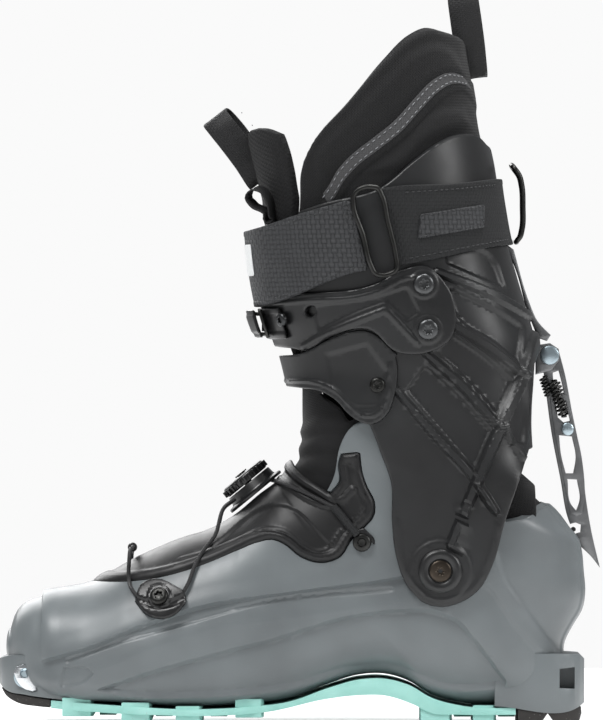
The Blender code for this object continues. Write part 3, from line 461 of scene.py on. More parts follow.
def wall(name, skin, keys, grow, thick, material, outline=None, sides=None, relief=(), holes=(), edge=0.7,
         across=170, inner_edge=0.25, nose=None, shape=None):
    """The part of a skin inside a side-view outline: outer face at grow, `thick` mm of wall inwards.
    relief is (field, start, end, height) rows: the face rises by height as the field goes from start
    to end."""
    grid = skin.grid(keys, across, grow, thick)
    if nose:
        grid = np.concatenate([nose_rows(grid[0], nose, thick), grid])
    rows, columns, _ = grid.shape
    points = grid.reshape(rows * columns, -1)
    faces = [[r * columns + c, r * columns + c + 1, (r + 1) * columns + c + 1, (r + 1) * columns + c]
             for r in range(rows - 1) for c in range(columns - 1)]
    area = area_field(outline) if outline is not None else None

    def border(p):
        value = area(p) if area else np.full(len(p), 99.0)
        if sides:
            value = np.minimum(value, np.minimum(p[:, 1] - sides[0], sides[1] - p[:, 1]))
        for hole in holes:
            value = np.minimum(value, -hole(p))
        return value

    value = border(points)
    points, faces = keep_above(points, faces, value, -4.0)
    for level in (0.0, 0.35 * edge, edge):
        points, faces = split(points, faces, border(points), level)
        if level == 0.0:
            points, faces = keep_above(points, faces, border(points), 0.0)
    for field, start, end, _ in relief:
        for level in (start, (start + end) / 2, end):
            points, faces = split(points, faces, field(points), level)
    lift = np.zeros(len(points))
    for field, start, end, height in relief:
        lift += height * step_up(field(points), start, end)
    near = np.clip(edge - border(points), 0, edge)
    outer = points[:, 0:3] + points[:, 6:9] * (lift - edge + np.sqrt(np.maximum(edge**2 - near**2,
                                                                                0)))[:, None]
    near = near * inner_edge / edge
    rise = inner_edge - np.sqrt(np.maximum(inner_edge**2 - near**2, 0))
    inner = points[:, 3:6] + points[:, 6:9] * rise[:, None]
    if shape:
        outer, inner = shape(outer, inner)
    _, same = np.unique(np.round(points[:, 0:3], 3), axis=0, return_inverse=True)
    same = same.reshape(-1)
    seen = {}
    for face in faces:
        for a, b in zip(face, face[1:] + face[:1]):
            pair = (min(same[a], same[b]), max(same[a], same[b]))
            seen[pair] = None if pair in seen else (a, b)
    count = len(points)
    rims = [[b, a, a + count, b + count] for a, b in filter(None, seen.values())]
    back = [[i + count for i in reversed(face)] for face in faces]
    uv = np.tile(points[:, 9:11], (2, 1))
    return mesh_object(name, np.concatenate([outer, inner]), faces + back + rims, material, uv)


def nose_rows(first, depth, thick, count=7):
    """Rows that close the front of a skin with a rounded nose, depth mm ahead of its first section."""
    rows = []
    centre = first[:, 0:3].mean(axis=0)
    for i in range(count):
        angle = math.pi / 2 * (1 - i / count)
        row = first.copy()
        row[:, 0:3] = centre + (first[:, 0:3] - centre) * math.cos(angle)
        row[:, 0] -= depth * math.sin(angle)
        row[:, 3:6] = centre + (first[:, 3:6] - centre) * math.cos(angle)
        row[:, 3] += thick - depth * math.sin(angle) * 0.5
        ahead = np.array((-1.0, 0, 0)) * math.sin(angle)
        row[:, 6:9] = first[:, 6:9] * math.cos(angle) + ahead
        row[:, 6:9] /= np.linalg.norm(row[:, 6:9], axis=1, keepdims=True)
        row[:, 10] -= depth * math.sin(angle)
        rows.append(row)
    return np.array(rows)


def place(piece, body, slot, *nodes):
    """The piece moves with a body, and the CAD nodes it stands for are hidden. slot is not used."""
    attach(piece, body)
    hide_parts(*nodes)
    return piece


# %% [markdown]
# ## Plates, turned parts and wires
# The small hardware is stamped plate, turned heads and bent wire. A stamped plate is a filled 2D curve with
# holes, extruded and bevelled. A turned part is a profile spun round its axis. A wire, cord, spring or
# ribbon is a cross-section swept along a path, with a UV map that measures along and round it in metres.

# %% Three makers for hardware


def plate(name, outlines, low, high, material, bevel=0.3, flat="xz", step=0.8, corner=35.0):
    """Outlines (the first is the outside, the rest are holes), extruded from low to high across the boot
    for side-view outlines, or upwards for plan outlines."""
    curve = bpy.data.curves.new(name, "CURVE")
    curve.dimensions, curve.fill_mode = "2D", "BOTH"
    curve.extrude = ((high - low) / 2 - bevel) * MM
    curve.bevel_depth, curve.offset, curve.bevel_resolution = bevel * MM, -bevel * MM, 1
    for outline in outlines:
        dense = curve_through(outline, step, closed=True, corner=corner)
        spline = curve.splines.new("POLY")
        spline.points.add(len(dense) - 1)
        spline.points.foreach_set("co",
                                  np.column_stack([dense * MM, np.zeros(len(dense)),
                                                   np.ones(len(dense))]).ravel())
        spline.use_cyclic_u = True
    holder = bpy.data.objects.new(name + "_curve", curve)
    bpy.context.scene.collection.objects.link(holder)
    mesh = bpy.data.meshes.new_from_object(holder.evaluated_get(bpy.context.evaluated_depsgraph_get()))
    bpy.data.objects.remove(holder)
    points = np.empty(len(mesh.vertices) * 3)
    mesh.vertices.foreach_get("co", points)
    points = points.reshape(-1, 3) / MM
    middle = (low + high) / 2
    if flat == "xz":
        points = np.column_stack([points[:, 0], middle - points[:, 2], points[:, 1]])
    else:
        points[:, 2] += middle
    faces = [list(face.vertices) for face in mesh.polygons]
    bpy.data.meshes.remove(mesh)
    return mesh_object(name, points, faces, material, points[:, [0, 2]] if flat == "xz" else points[:, :2],
                       30)


def turned(name, profile, at, axis, material, sides=48):
    """A profile of (radius, height) spun round the axis through a point, closed at both ends."""
    turn = np.array(Vector(axis).to_track_quat("Z", "Y").to_matrix())
    angles = 2 * math.pi * np.arange(sides) / sides
    rings = [np.column_stack([r * np.cos(angles), r * np.sin(angles), np.full(sides, h)]) for r, h in profile]
    points = np.concatenate(rings) @ turn.T + np.array(at)
    faces = [[k * sides + i, k * sides + (i + 1) % sides, (k + 1) * sides + (i + 1) % sides,
              (k + 1) * sides + i]
             for k in range(len(profile) - 1) for i in range(sides)]
    faces += [list(range(sides))[::-1], [len(points) - sides + i for i in range(sides)]]
    return mesh_object(name, points, faces, material)


def sweep(name, path, section, material, closed=False, across=None, sharp=35.0):
    """A cross-section (a, b) swept along a path. b points along `across` where given, for ribbons."""
    path = np.asarray(path, float)
    count, sides = len(path), len(section)
    ahead = np.roll(path, -1, axis=0) - path if closed else np.gradient(path, axis=0)
    if closed:
        ahead = ahead + np.roll(ahead, 1, axis=0)
    ahead /= np.linalg.norm(ahead, axis=1, keepdims=True)
    ups = [np.cross(ahead[0], (0.3, 0.9, 0.4)) if across is None else np.cross(ahead[0], across)]
    for way in ahead[1:]:
        ups.append(ups[-1] - way * (ups[-1] @ way) if across is None else np.cross(way, across))
    ups = np.array(ups) / np.linalg.norm(ups, axis=1, keepdims=True)
    sideways = np.cross(ahead, ups)
    if closed and across is None:
        start, end = ups[0], ups[-1] - ahead[0] * (ups[-1] @ ahead[0])
        twist = math.atan2(np.cross(end, start) @ ahead[0], end @ start)
        turn = (np.arange(count) / count * twist)[:, None]
        ups, sideways = (ups * np.cos(turn) + sideways * np.sin(turn),
                         sideways * np.cos(turn) - ups * np.sin(turn))
    section = np.array(section, float)
    rings = path[:, None] + section[None, :, :1] * ups[:, None] + section[None, :, 1:] * sideways[:, None]
    lengths = np.concatenate([[0], np.cumsum(np.linalg.norm(np.diff(path, axis=0), axis=1))])
    girth = np.concatenate([[0], np.cumsum(np.linalg.norm(np.diff(section, axis=0), axis=1))])
    uv = np.stack(np.meshgrid(lengths, girth, indexing="ij"), axis=2).reshape(-1, 2)
    spans = count if closed else count - 1
    faces = [[k * sides + i, k * sides + (i + 1) % sides, (k + 1) % count * sides + (i + 1) % sides,
              (k + 1) % count * sides + i] for k in range(spans) for i in range(sides)]
    if not closed:
        faces += [list(range(sides))[::-1], [(count - 1) * sides + i for i in range(sides)]]
    return mesh_object(name, rings.reshape(-1, 3), faces, material, uv, sharp)


def round_section(radius, sides=12):
    return [(radius * math.cos(2 * math.pi * i / sides), radius * math.sin(2 * math.pi * i / sides))
            for i in range(sides)]


def tape_section(width, thick, soft=0.4):
    """A flat tape's cross-section, with rounded long edges."""
    half, side = thick / 2, width / 2
    return [(-half, -side + soft), (-half * 0.6, -side), (half * 0.6, -side), (half, -side + soft),
            (half, 0), (half, side - soft), (half * 0.6, side), (-half * 0.6, side), (-half, side - soft),
            (-half, 0)]


def arc(cx, cz, radius, start, end, count):
    """Points round a centre of the side view. 0 degrees is up, and positive angles lean towards the toe."""
    angles = np.radians(np.linspace(start, end, count))
    return [(cx - radius * math.sin(a), cz + radius * math.cos(a)) for a in angles]


print("makers ready: wall, plate, turned, sweep")
# %% [markdown]
# ## Finishes: moulded plastics
# The foot shell is injection-moulded polyamide: satin, a little translucent to the eye, with a fine spark
# eroded grain and faint scuffs low down. The cuff is carbon-filled polyamide, darker and drier. The instep
# cover and the small clips are softer polyurethane, which comes out of the mould glossier.

# %% Plastic finishes


def scuffs(tree, place, size_mm, amount):
    """Fine short scratches: 1 where a thin band of stretched noise is crossed, else 0."""
    lines = grain(tree, place, size_mm, 2.0, (1, 1, 6))
    band = maths(tree, "ABSOLUTE", maths(tree, "SUBTRACT", lines, 0.5))
    return maths(tree, "MULTIPLY", maths(tree, "LESS_THAN", band, 0.004 * amount),
                 grain(tree, place, size_mm * 3, 1.0))


def plastic(name, low, high, roughness, grain_mm, grain_depth, coat=0.0, scuffed=1.0, specular=0.5):
    """Moulded plastic: slow colour drift, spark-eroded grain, and scuffs that are lighter."""
    made, tree, shader, place_at = finish_of(name, Metallic=0.0)
    drift = grain(tree, place_at, 45, 3.0)
    base = ramp(tree, drift, low, high, 0.35, 0.65)
    marks = maths(tree, "MULTIPLY", scuffs(tree, place_at, 9, scuffed), 0.35 * scuffed)
    lighter = add(tree, "ShaderNodeMix", {0: marks, 6: base, 7: linear("8A8C8D")},
                  data_type="RGBA").outputs[2]
    tree.links.new(lighter, shader.inputs["Base Color"])
    mottled = grain(tree, place_at, 6, 4.0)
    tree.links.new(spread(tree, mottled, roughness - 0.06, roughness + 0.08), shader.inputs["Roughness"])
    fine = grain(tree, place_at, grain_mm, 2.0)
    soft = bump(tree, shader, drift, 0.15, 0.2)
    bump(tree, shader, fine, grain_depth, 0.5, soft)
    shader.inputs["Coat Weight"].default_value = coat
    shader.inputs["Coat Roughness"].default_value = 0.25
    shader.inputs["Specular IOR Level"].default_value = specular
    return made


# Injection-moulded polyamide 12, pigmented mid grey: satin, broad soft highlights along the ridges.
# Grain 0.5 mm.
shell_grey = plastic("shell_moulded_polyamide", "5F6466", "6B7173", 0.36, 0.5, 0.03, scuffed=0.6)
# Carbon-filled polyamide: near black, dry, with only a grey sheen on faces that look up. Grain 0.6 mm.
cuff_black = plastic("cuff_carbon_polyamide", "121213", "1A1B1C", 0.40, 0.6, 0.03, scuffed=0.3)
# Moulded polyurethane: black and glossier, so its beads catch thin bright lines. Grain 0.8 mm, shallow.
trim_black = plastic("trim_moulded_polyurethane", "0E0E0F", "151617", 0.36, 0.8, 0.008, coat=0.05,
                     scuffed=0.2)
# The same polyurethane with a matt, eroded face: the instep cover, grey only where it turns to the light.
cover_black = plastic("cover_matt_polyurethane", "0C0C0D", "131314", 0.44, 0.8, 0.02, scuffed=0.1,
                      specular=0.4)
# Acetal, used for the clips and the dial: black, slightly waxy.
clip_black = plastic("clip_moulded_acetal", "0D0D0E", "141415", 0.32, 0.7, 0.01, scuffed=0.2)

# %% [markdown]
# ## Finishes: rubber and foam
# The sole is a rubber moulding: mint blocks, dark green insets set between them, and hard black
# blocks at the toe and heel. Rubber is matt, takes up dust, and its edges look softer than plastic. The
# liner's inside is open-cell foam with a brushed face.

# %% Rubber and foam finishes


def rubber_of(name, low, high, roughness, speck):
    made, tree, shader, place_at = finish_of(name, Metallic=0.0)
    patchy = grain(tree, place_at, 18, 5.0, rough=0.6)
    dusty = ramp(tree, patchy, low, high, 0.3, 0.7)
    specks = maths(tree, "GREATER_THAN", grain(tree, place_at, 1.4, 2.0), speck)
    colour = add(tree, "ShaderNodeMix",
                 {0: maths(tree, "MULTIPLY", specks, 0.35), 6: dusty, 7: linear("8C8A84")},
                 data_type="RGBA").outputs[2]
    tree.links.new(colour, shader.inputs["Base Color"])
    tree.links.new(spread(tree, patchy, roughness - 0.08, roughness + 0.08), shader.inputs["Roughness"])
    bump(tree, shader, grain(tree, place_at, 0.7, 3.0), 0.06, 0.5)
    return made


# Moulded styrene rubber, mint: pale, chalky, with a fine dust in its grain (0.7 mm).
sole_mint = rubber_of("sole_mint_rubber", "8FC9BF", "A6DAD1", 0.6, 0.72)
# The rubber finish in dark green, for the insets between the lugs.
sole_green = rubber_of("sole_green_rubber", "0D3F37", "145247", 0.62, 0.74)
# Hard black rubber at toe and heel: dark brown-grey where it is scuffed.
hard_rubber = rubber_of("tip_black_rubber", "1C1B1A", "302D2B", 0.7, 0.68)


def foam_of(name, low, high, cell_mm):
    made, tree, shader, place_at = finish_of(name, Roughness=0.95)
    cells = add(tree, "ShaderNodeTexVoronoi", {
        "Vector": add(tree, "ShaderNodeMapping", {0: place_at, 3: [1 / (cell_mm * MM)] * 3}).outputs[0],
        "Scale": 1.0}).outputs["Distance"]
    tree.links.new(ramp(tree, cells, high, low, 0.1, 0.8), shader.inputs["Base Color"])
    shader.inputs["Sheen Weight"].default_value = 0.25
    bump(tree, shader, cells, 0.15, 0.5)
    return made


# Heat-moulded ethylene foam under brushed nylon: no highlight at all, and tiny cells (1 mm) up close.
board_foam = foam_of("board_eva_foam", "3A3A3B", "505051", 1.0)

# %% [markdown]
# ## Finishes: cloth, webbing and cord
# Cloth is told from plastic by its threads. The patterns below are two sets of threads that pass over and
# under each other, measured along the piece by its UV map, so that the weave follows the strap or sleeve.
# Real threads of 0.3 mm would vanish at arm's length, so the finest are drawn 0.7 to 1 mm apart.

# %% Woven finishes


def weave_height(tree, place_at, thread_mm, aspect=1.0, turn=0.0):
    """Plain or basket weave: 1 on the crown of a thread and 0 between threads."""
    scale = (1 / (thread_mm * MM), 1 / (thread_mm * aspect * MM), 1)
    moved = add(tree, "ShaderNodeMapping", {0: place_at, 2: (0, 0, math.radians(turn)), 3: scale}).outputs[0]
    parts = add(tree, "ShaderNodeSeparateXYZ", {0: moved})
    waves = [maths(tree, "SINE", maths(tree, "MULTIPLY", parts.outputs[i], math.pi)) for i in (0, 1)]
    over = maths(tree, "GREATER_THAN", maths(tree, "MULTIPLY", *waves), 0.0)
    crowns = [maths(tree, "POWER", maths(tree, "ABSOLUTE", wave), 0.6) for wave in waves]
    warp = maths(tree, "MULTIPLY", over, crowns[0])
    weft = maths(tree, "MULTIPLY", maths(tree, "SUBTRACT", 1.0, over), crowns[1])
    return maths(tree, "ADD", warp, weft)


def cloth(name, thread_mm, low, high, depth, aspect=1.0, turn=0.0, sheen=0.2, folds=0.0, uv=True,
          roughness=0.85):
    made, tree, shader, place_at = finish_of(name, uv, Roughness=roughness)
    height = weave_height(tree, place_at, thread_mm, aspect, turn)
    uneven = grain(tree, place_at, 14, 3.0)
    fibre = maths(tree, "MULTIPLY_ADD", grain(tree, place_at, thread_mm * 0.35, 2.0), 0.5, height)
    # Thread crowns get a painted highlight and the gaps between threads get painted shade, both from the
    # weave's height and a fine fibre noise; a slow random unevenness in tone is laid over it.
    painted_weave_light_and_tone = maths(tree, "MULTIPLY", fibre, spread(tree, uneven, 0.6, 1.0))
    tree.links.new(ramp(tree, painted_weave_light_and_tone, low, high, 0.1, 1.1), shader.inputs["Base Color"])
    shader.inputs["Sheen Weight"].default_value = sheen
    shader.inputs["Sheen Roughness"].default_value = 0.5
    shader.inputs["Specular IOR Level"].default_value = 0.35
    soft = bump(tree, shader, grain(tree, place_at, 22, 2.0, (1, 1.6, 1)), folds, 0.6) if folds else None
    bump(tree, shader, fibre, depth, 0.8, soft)
    return made


# Heavy nylon webbing in basket weave, the grip face of the strap: 2.3 mm cells, glinting threads.
web_coarse = cloth("webbing_basket_nylon", 2.3, "030304", "37383A", 0.7, roughness=0.6, sheen=0.02)
# The same webbing in a fine rib weave: 1.1 mm ribs along the strap.
web_fine = cloth("webbing_rib_nylon", 1.1, "08080A", "1E1F20", 0.25, aspect=1.6, roughness=0.7, sheen=0.02)
# Nylon tape of the pull loops: thin, smooth, a little shiny.
loop_tape = cloth("loop_nylon_tape", 0.9, "0A0A0B", "1E1E1F", 0.15, aspect=1.4, roughness=0.6, sheen=0.02)
# Stretch softshell of the gaiter: dull black with slow folds where it bunches. Threads drawn at 0.8 mm.
gaiter_cloth = cloth("gaiter_stretch_softshell", 0.8, "070708", "121213", 0.12, turn=35, folds=1.2,
                     sheen=0.05)
# Brushed textile over the liner foam: dark, soft, drawn as a 1 mm knit.
liner_cloth = cloth("liner_brushed_knit", 1.0, "060607", "111112", 0.18, turn=45, folds=0.8, sheen=0.06)
# Spacer mesh on the tongue and the collar: open 1.6 mm cells.
liner_mesh = cloth("liner_spacer_mesh", 1.3, "040405", "131314", 0.25, aspect=1.2, turn=30, sheen=0.04)
# The grey binding tape sewn round the collar.
binding_grey = cloth("binding_grey_tape", 0.9, "343435", "4A4A4B", 0.15, sheen=0.05)
# Braided polyethylene cord of the lacing: tight, slightly waxy, 1 mm picks.
lace_braid = cloth("lace_braided_cord", 0.9, "09090A", "2A2A2B", 0.2, turn=45, roughness=0.55, sheen=0.0)
# Bonded polyester thread: pale grey on the binding, a touch shiny.
thread_light = cloth("thread_light_polyester", 0.5, "6C6D70", "8C8D90", 0.05, uv=False, roughness=0.6)
thread_dark = cloth("thread_dark_polyester", 0.5, "1B1B1C", "37383A", 0.05, uv=False, roughness=0.6)
# Blank satin label.
label_white = cloth("label_satin_ribbon", 0.6, "C9CBCB", "E6E8E8", 0.05, uv=False, roughness=0.5)

# %% [markdown]
# ## Finishes: metals
# Four metals: polished stainless inserts for the binding pins, zinc-plated screws with a cool tint, dark
# phosphated wire for the buckle and springs, and the sandblasted aluminium of the walk lever.

# %% Metal finishes


def metal(name, low, high, roughness, stretch=(1, 1, 1), size_mm=1.2, depth=0.02):
    made, tree, shader, place_at = finish_of(name, Metallic=1.0)
    tone = grain(tree, place_at, 12, 4.0)
    fine = grain(tree, place_at, size_mm, 3.0, stretch)
    tree.links.new(ramp(tree, tone, low, high, 0.3, 0.7), shader.inputs["Base Color"])
    tree.links.new(spread(tree, fine, roughness - 0.08, roughness + 0.1), shader.inputs["Roughness"])
    bump(tree, shader, fine, depth, 0.5)
    return made


# Polished stainless steel: bright, with drag marks from the pins.
bright_steel = metal("insert_polished_steel", "BFC3C6", "DADDDF", 0.22, (1, 8, 1))
# Zinc-plated steel: cool grey, slightly blue.
zinc_steel = metal("screw_zinc_plated_steel", "93A1A8", "B7C6CD", 0.32)
# Burnished steel screw heads: dark grey, with a low gleam.
screw_black = metal("screw_burnished_steel", "3E3F40", "5C5D5E", 0.33)
# Phosphated steel wire and pins, oiled and nearly black.
dark_steel = metal("wire_phosphated_steel", "2C2C2B", "454544", 0.34)
# Burnished bronze-brown head of the pivot screw.
pivot_bronze = metal("pivot_burnished_steel", "2B2723", "4A433C", 0.36)
# Sandblasted, clear-anodised aluminium plate: even grey, grit 0.5 mm.
lever_aluminium = metal("lever_blasted_aluminium", "6E6F70", "8A8B8C", 0.40, size_mm=0.5, depth=0.04)
print("finishes:", len(bpy.data.materials))
# %% [markdown]
# ## The foot shell
# The shell is one injection moulding, about 4 mm thick. Its side has a long ridge from toe to heel, a sunken
# panel under it, a frame leg that rises from the heel to the cuff pivot, and a pocket where the instep cover
# lies. Ridge and panel are relief on the wall, and the toe and heel lips that carry the binding inserts are
# thick blocks, joined to the wall in the same colour.

# %% Outlines and relief of the shell

COVER_EDGE = [(-106, 68.4), (-83, 68.4), (-70, 70), (-56, 73.5), (-44.5, 77.5), (-31.5, 83), (-20, 87.5),
              (-14, 88.5), (-8.5, 86.5), (0, 80), (8, 77.5), (13.5, 78), (18, 80), (23.5, 88), (29, 93.5),
              (34.5, 100.5), (34.5, 106), (31, 113), (28.5, 120.5), (27.5, 129.5), (19, 128.6), (17.6, 124),
              (18.2, 116), (13.5, 110), (-5.5, 125.2), (-8, 134), (-45, 134)]
SHELL_COLLAR = [(-150, -5), (150, -5), (150, 104.6), (118, 104.6), (106, 98.4), (96.5, 96.8), (86, 112),
                (72, 132), (58, 143), (30.5, 144.5), (26, 143.5), (20.5, 138), (17.8, 132), (15, 118),
                (4, 100), (-10, 98), (-40, 86), (-70, 77), (-84, 74.4), (-90, 76), (-94, 84), (-150, 84)]
SIDE_PANEL = [(-96.5, 16.5), (-72.5, 25), (-48.5, 32), (-15, 40.5), (23, 51.5), (47, 54.5), (64, 54),
              (73.5, 50),
              (83, 39.5), (97, 20.5), (96, 17.5), (66.5, 17.5), (54.5, 22), (45, 25), (23, 24.5),
              (-0.5, 18.5),
              (-48.5, 14), (-82, 14)]
UPPER_RIDGE = [(-124, 30), (-99, 37.4), (-77.5, 46.5), (-48.5, 56), (-0.5, 63.5), (54.5, 72), (61.5, 74)]
LOWER_LINE = [(-112, 30.5), (-87, 39.8), (-58, 48), (-20, 58), (42.5, 64.5)]
ABOVE_RIDGE = UPPER_RIDGE + [(61.5, 200), (-124, 200)]
FRAME_LEG = [(61.5, 74), (87.5, 66.5), (100, 49), (114.5, 32), (122, 34), (109, 52), (96, 70), (92, 84),
             (60, 90)]
TOE_LEAF = [(-113.4, 27.3), (-107, 27.6), (-100.4, 26.8), (-99, 24.4), (-103, 20.6), (-109, 18.6),
            (-115, 17.7)]
HEEL_POCKET = [(122.9, 17.2), (130.2, 16.8), (130.2, 27.2), (122.9, 26.4)]
TEARDROP = [(-137.2, 24.2), (-136, 27.2), (-132.6, 28.6), (-129.2, 27.4), (-126.6, 21), (-125.8, 15.6),
            (-128.5, 14.9), (-133.4, 17.4), (-136.2, 21)]
GROOVE_HALF = 4.6


def groove(p):
    """Inside the slot of the lock lever, a curved channel down the middle of the heel."""
    away = np.hypot(p[:, 0] - PIVOT[0], p[:, 2] - PIVOT[1])
    angle = np.degrees(np.arctan2(-(p[:, 0] - PIVOT[0]), p[:, 2] - PIVOT[1]))
    span = np.minimum(angle + 112, -48 - angle) * 1.1
    return np.minimum(np.minimum(GROOVE_HALF - np.abs(p[:, 1]), span), away - 61.4)


def round_hole(x, z, radius, side=0):
    def field(p):
        value = radius - np.hypot(p[:, 0] - x, p[:, 2] - z)
        return value if not side else np.minimum(value, side * p[:, 1])
    return field


def spine_band(p):
    """The rear spine: a raised strip down the heel, beside the lock groove."""
    return np.minimum(np.minimum(np.abs(p[:, 1]) - GROOVE_HALF, 15 - np.abs(p[:, 1])), p[:, 0] - 104)


SHELL_RELIEF = [
    (area_field(ABOVE_RIDGE), -12.0, -1.0, -1.9),
    (area_field(ABOVE_RIDGE), -0.9, 0.7, 2.7),
    (area_field(ABOVE_RIDGE), 0.7, 9.0, -0.8),
    (stroke_field(LOWER_LINE, 0.9), -0.8, 0.8, -0.7),
    (area_field(SIDE_PANEL), -0.8, 1.4, -2.2),
    (area_field(FRAME_LEG), -1.4, 1.4, 1.3),
    (area_field(TOE_LEAF), -0.5, 0.6, -1.0),
    (spine_band, -0.6, 0.9, 0.7),
]

# %% Build the shell wall
foot_keys = np.concatenate([np.arange(-139.4, -30, 1.6), np.arange(-30, 76.1, 0.75)])
quick_across = 190
in_pocket = area_field(COVER_EDGE)
SHELL_RELIEF.append((in_pocket, -0.5, 0.3, -2.3))

shell = wall("foot_shell", SHELL, foot_keys, -0.3, 3.4, shell_grey, SHELL_COLLAR, relief=SHELL_RELIEF,
             holes=[groove, round_hole(*PIVOT, 6.8)], across=quick_across, nose=2.2, edge=1.0)
place(shell, "lower_boot", "shell_grey", "lower_shell")
print("shell:", len(shell.data.polygons), "faces")

# %% [markdown]
# ## Toe and heel lips
# Both ends of a touring boot carry steel inserts that the binding pins grip, so the plastic round them is a
# solid lip. Each lip is a plan outline extruded upwards with rounded edges, and holes are left for inserts.

# %% Build the lips

SKEW_KEYS = [(-139.4, 8.0), (-130, 7.0), (-120, 6.0), (-105, 4.6), (-85, 3.0), (-65, 1.5), (-45, 0.5),
             (-30, 0), (140, 0)]


def plan(widths, inset=0.0):
    """A closed plan outline from (x, half width) rows, skewed as the shell is."""
    xs, skews = zip(*SKEW_KEYS)
    outer = [(x, np.interp(x, xs, skews) - half + inset) for x, half in widths]
    inner = [(x, np.interp(x, xs, skews) + half - inset) for x, half in widths]
    return outer + inner[::-1]


def trimmed(piece, cutter, operation="DIFFERENCE"):
    """Cuts a closed piece with a closed cutter and drops the cutter."""
    step = piece.modifiers.new("cut", "BOOLEAN")
    step.operation, step.object = operation, cutter
    mesh = bpy.data.meshes.new_from_object(piece.evaluated_get(bpy.context.evaluated_depsgraph_get()))
    piece.modifiers.remove(step)
    piece.data = mesh
    bpy.data.objects.remove(cutter)
    mesh.shade_smooth()
    mesh.set_sharp_from_angle(angle=math.radians(30))
    return piece


def rounded(piece, width, angle=40, segments=2):
    """A bevel on the piece's sharper edges, applied."""
    step = piece.modifiers.new("round", "BEVEL")
    step.width, step.segments, step.limit_method = width * MM, segments, "ANGLE"
    step.angle_limit = math.radians(angle)
    mesh = bpy.data.meshes.new_from_object(piece.evaluated_get(bpy.context.evaluated_depsgraph_get()))
    piece.modifiers.remove(step)
    piece.data = mesh
    mesh.shade_smooth()
    mesh.set_sharp_from_angle(angle=math.radians(35))
    return piece


TOE_PLAN = [(-144.2, 13), (-143, 20), (-140.2, 25.5), (-136, 30), (-129, 33.5), (-120, 36), (-108, 38)]
HEEL_PLAN = [(92, 34), (112, 34), (122, 32.5), (128, 30), (132, 25.5), (134, 21)]
toe_side = [(-146, 21.5), (-145, 19.6), (-141, 15.8), (-132, 13.9), (-119, 12.2), (-100, 10.8), (-100, 30),
            (-118, 31.6), (-132, 32.6), (-140, 32.4), (-146, 30)]
toe_lip = plate("toe_lip", [plan(TOE_PLAN)], 8, 36, shell_grey, 1.5, "xy")
trimmed(toe_lip, plate("toe_side", [toe_side], -70, 80, shell_grey, 0.01), "INTERSECT")
trimmed(toe_lip, plate("toe_slot", [TEARDROP], -70, 80, shell_grey, 0.01))
rounded(toe_lip, 0.9)
place(toe_lip, "lower_boot", "shell_grey")

heel_side = [(92, 8.6), (133, 8.6), (135, 10), (135, 31), (133, 33), (118, 33.6), (100, 33), (92, 30)]
heel_lip = plate("heel_lip", [plan(HEEL_PLAN)], 4, 40, shell_grey, 1.2, "xy")
trimmed(heel_lip, plate("heel_side", [heel_side], -70, 70, shell_grey, 0.01), "INTERSECT")
trimmed(heel_lip, plate("heel_slot", [[(130.2, 12.1), (140, 12.1), (140, 30.6), (130.2, 30.6)]], -14.4, 14.4,
                        shell_grey, 0.01))
for way in (-1, 1):
    low, high = sorted((way * 19, way * 60))
    trimmed(heel_lip, plate("heel_window", [HEEL_POCKET], low, high, shell_grey, 0.01))
rounded(heel_lip, 0.8)
place(heel_lip, "lower_boot", "shell_grey")
print("lips:", len(toe_lip.data.polygons), len(heel_lip.data.polygons), "faces")

# %% [markdown]
# ## Binding inserts
# A steel bar runs across the toe lip, with a conical socket at each end for the binding's pins. A steel plate
# with two slots sits in the heel. These are the brightest parts of the boot, and the only polished ones.

# %% Build the inserts

toe_bar = plate("toe_bar", [TEARDROP], -25.6, 39.6, bright_steel, 0.7)
for y, way in ((-25.6, -1), (39.6, 1)):
    socket = turned("socket", [(0.4, -4.6), (2.4, 0), (2.6, 1.5)], (-132, y, 24.2), (0, way, 0), bright_steel,
                    32)
    trimmed(toe_bar, socket)
place(toe_bar, "lower_boot", "bright_steel", "toe_insert")
heel_plate = plate("heel_plate", [[(130.6, 12.6), (134.1, 12.6), (134.1, 30.1), (130.6, 30.1)]], -14, 14,
                   bright_steel, 0.5)
for y in (-6, 6):
    trimmed(heel_plate, plate("slot", [[(132.6, 14.6), (137, 14.6), (137, 22), (132.6, 22)]], y - 2.3,
                              y + 2.3, bright_steel, 0.01))
place(heel_plate, "lower_boot", "bright_steel", "heel_insert")
for name, y, way in (("outer", -25.6, -1), ("inner", 39.6, 1)):
    cup = [(5.6, -0.6), (5.6, 0.1), (5.2, 0.5), (3.6, 0.5), (2.9, -0.2), (2.5, -0.9), (0.05, -1.0)]
    place(turned("pin_cup_" + name, cup, (-131.6, y - way * 0.7, 22.6), (0, way, 0), zinc_steel),
          "lower_boot", "bright_steel")

# %% [markdown]
# ## The sole
# The outsole is bonded under the shell. In side view it is a thin mint band that thickens at the arch, with
# square lugs below it and dark green insets between the lugs. The lug pattern is one block repeated in
# rows, so Geometry Nodes puts a small bevelled block on each point of a tread plan.

# %% Build the sole band and its end blocks

SOLE_TOP = [(-119.6, 11.3), (-89.4, 9.3), (-52.5, 7.5), (-25, 8.6), (-6.5, 10.8), (14.1, 17.8), (27.1, 21.3),
            (40, 21.7), (51, 18.8), (62.1, 12.6), (76.4, 8.8), (102.3, 7.8)]
SOLE_UNDER = [(102.3, 4.6), (76, 4.6), (62, 5.4), (52.5, 9.8), (40, 13.7), (27.1, 13.9), (12.2, 12.2),
              (-15.6, 6.2), (-30, 4.9), (-75, 4.9), (-98, 6.0), (-119.6, 7.6)]
SOLE_PLAN = [(-119.4, 35), (-112, 38.5), (-104, 41), (-90, 43.6), (-75, 45), (-55, 45), (-35, 42.6),
             (-15, 39), (10, 35.5), (40, 33.5), (70, 33), (102, 33.4)]
LUGS = [(-114.3, -98.5, 3.8), (-86, -70.7, 1.7), (-60.2, -46.7, 0.0), (-31.9, -17.5, 3.4), (56.3, 72.1, 0.0),
        (81.2, 93.2, 0.0)]

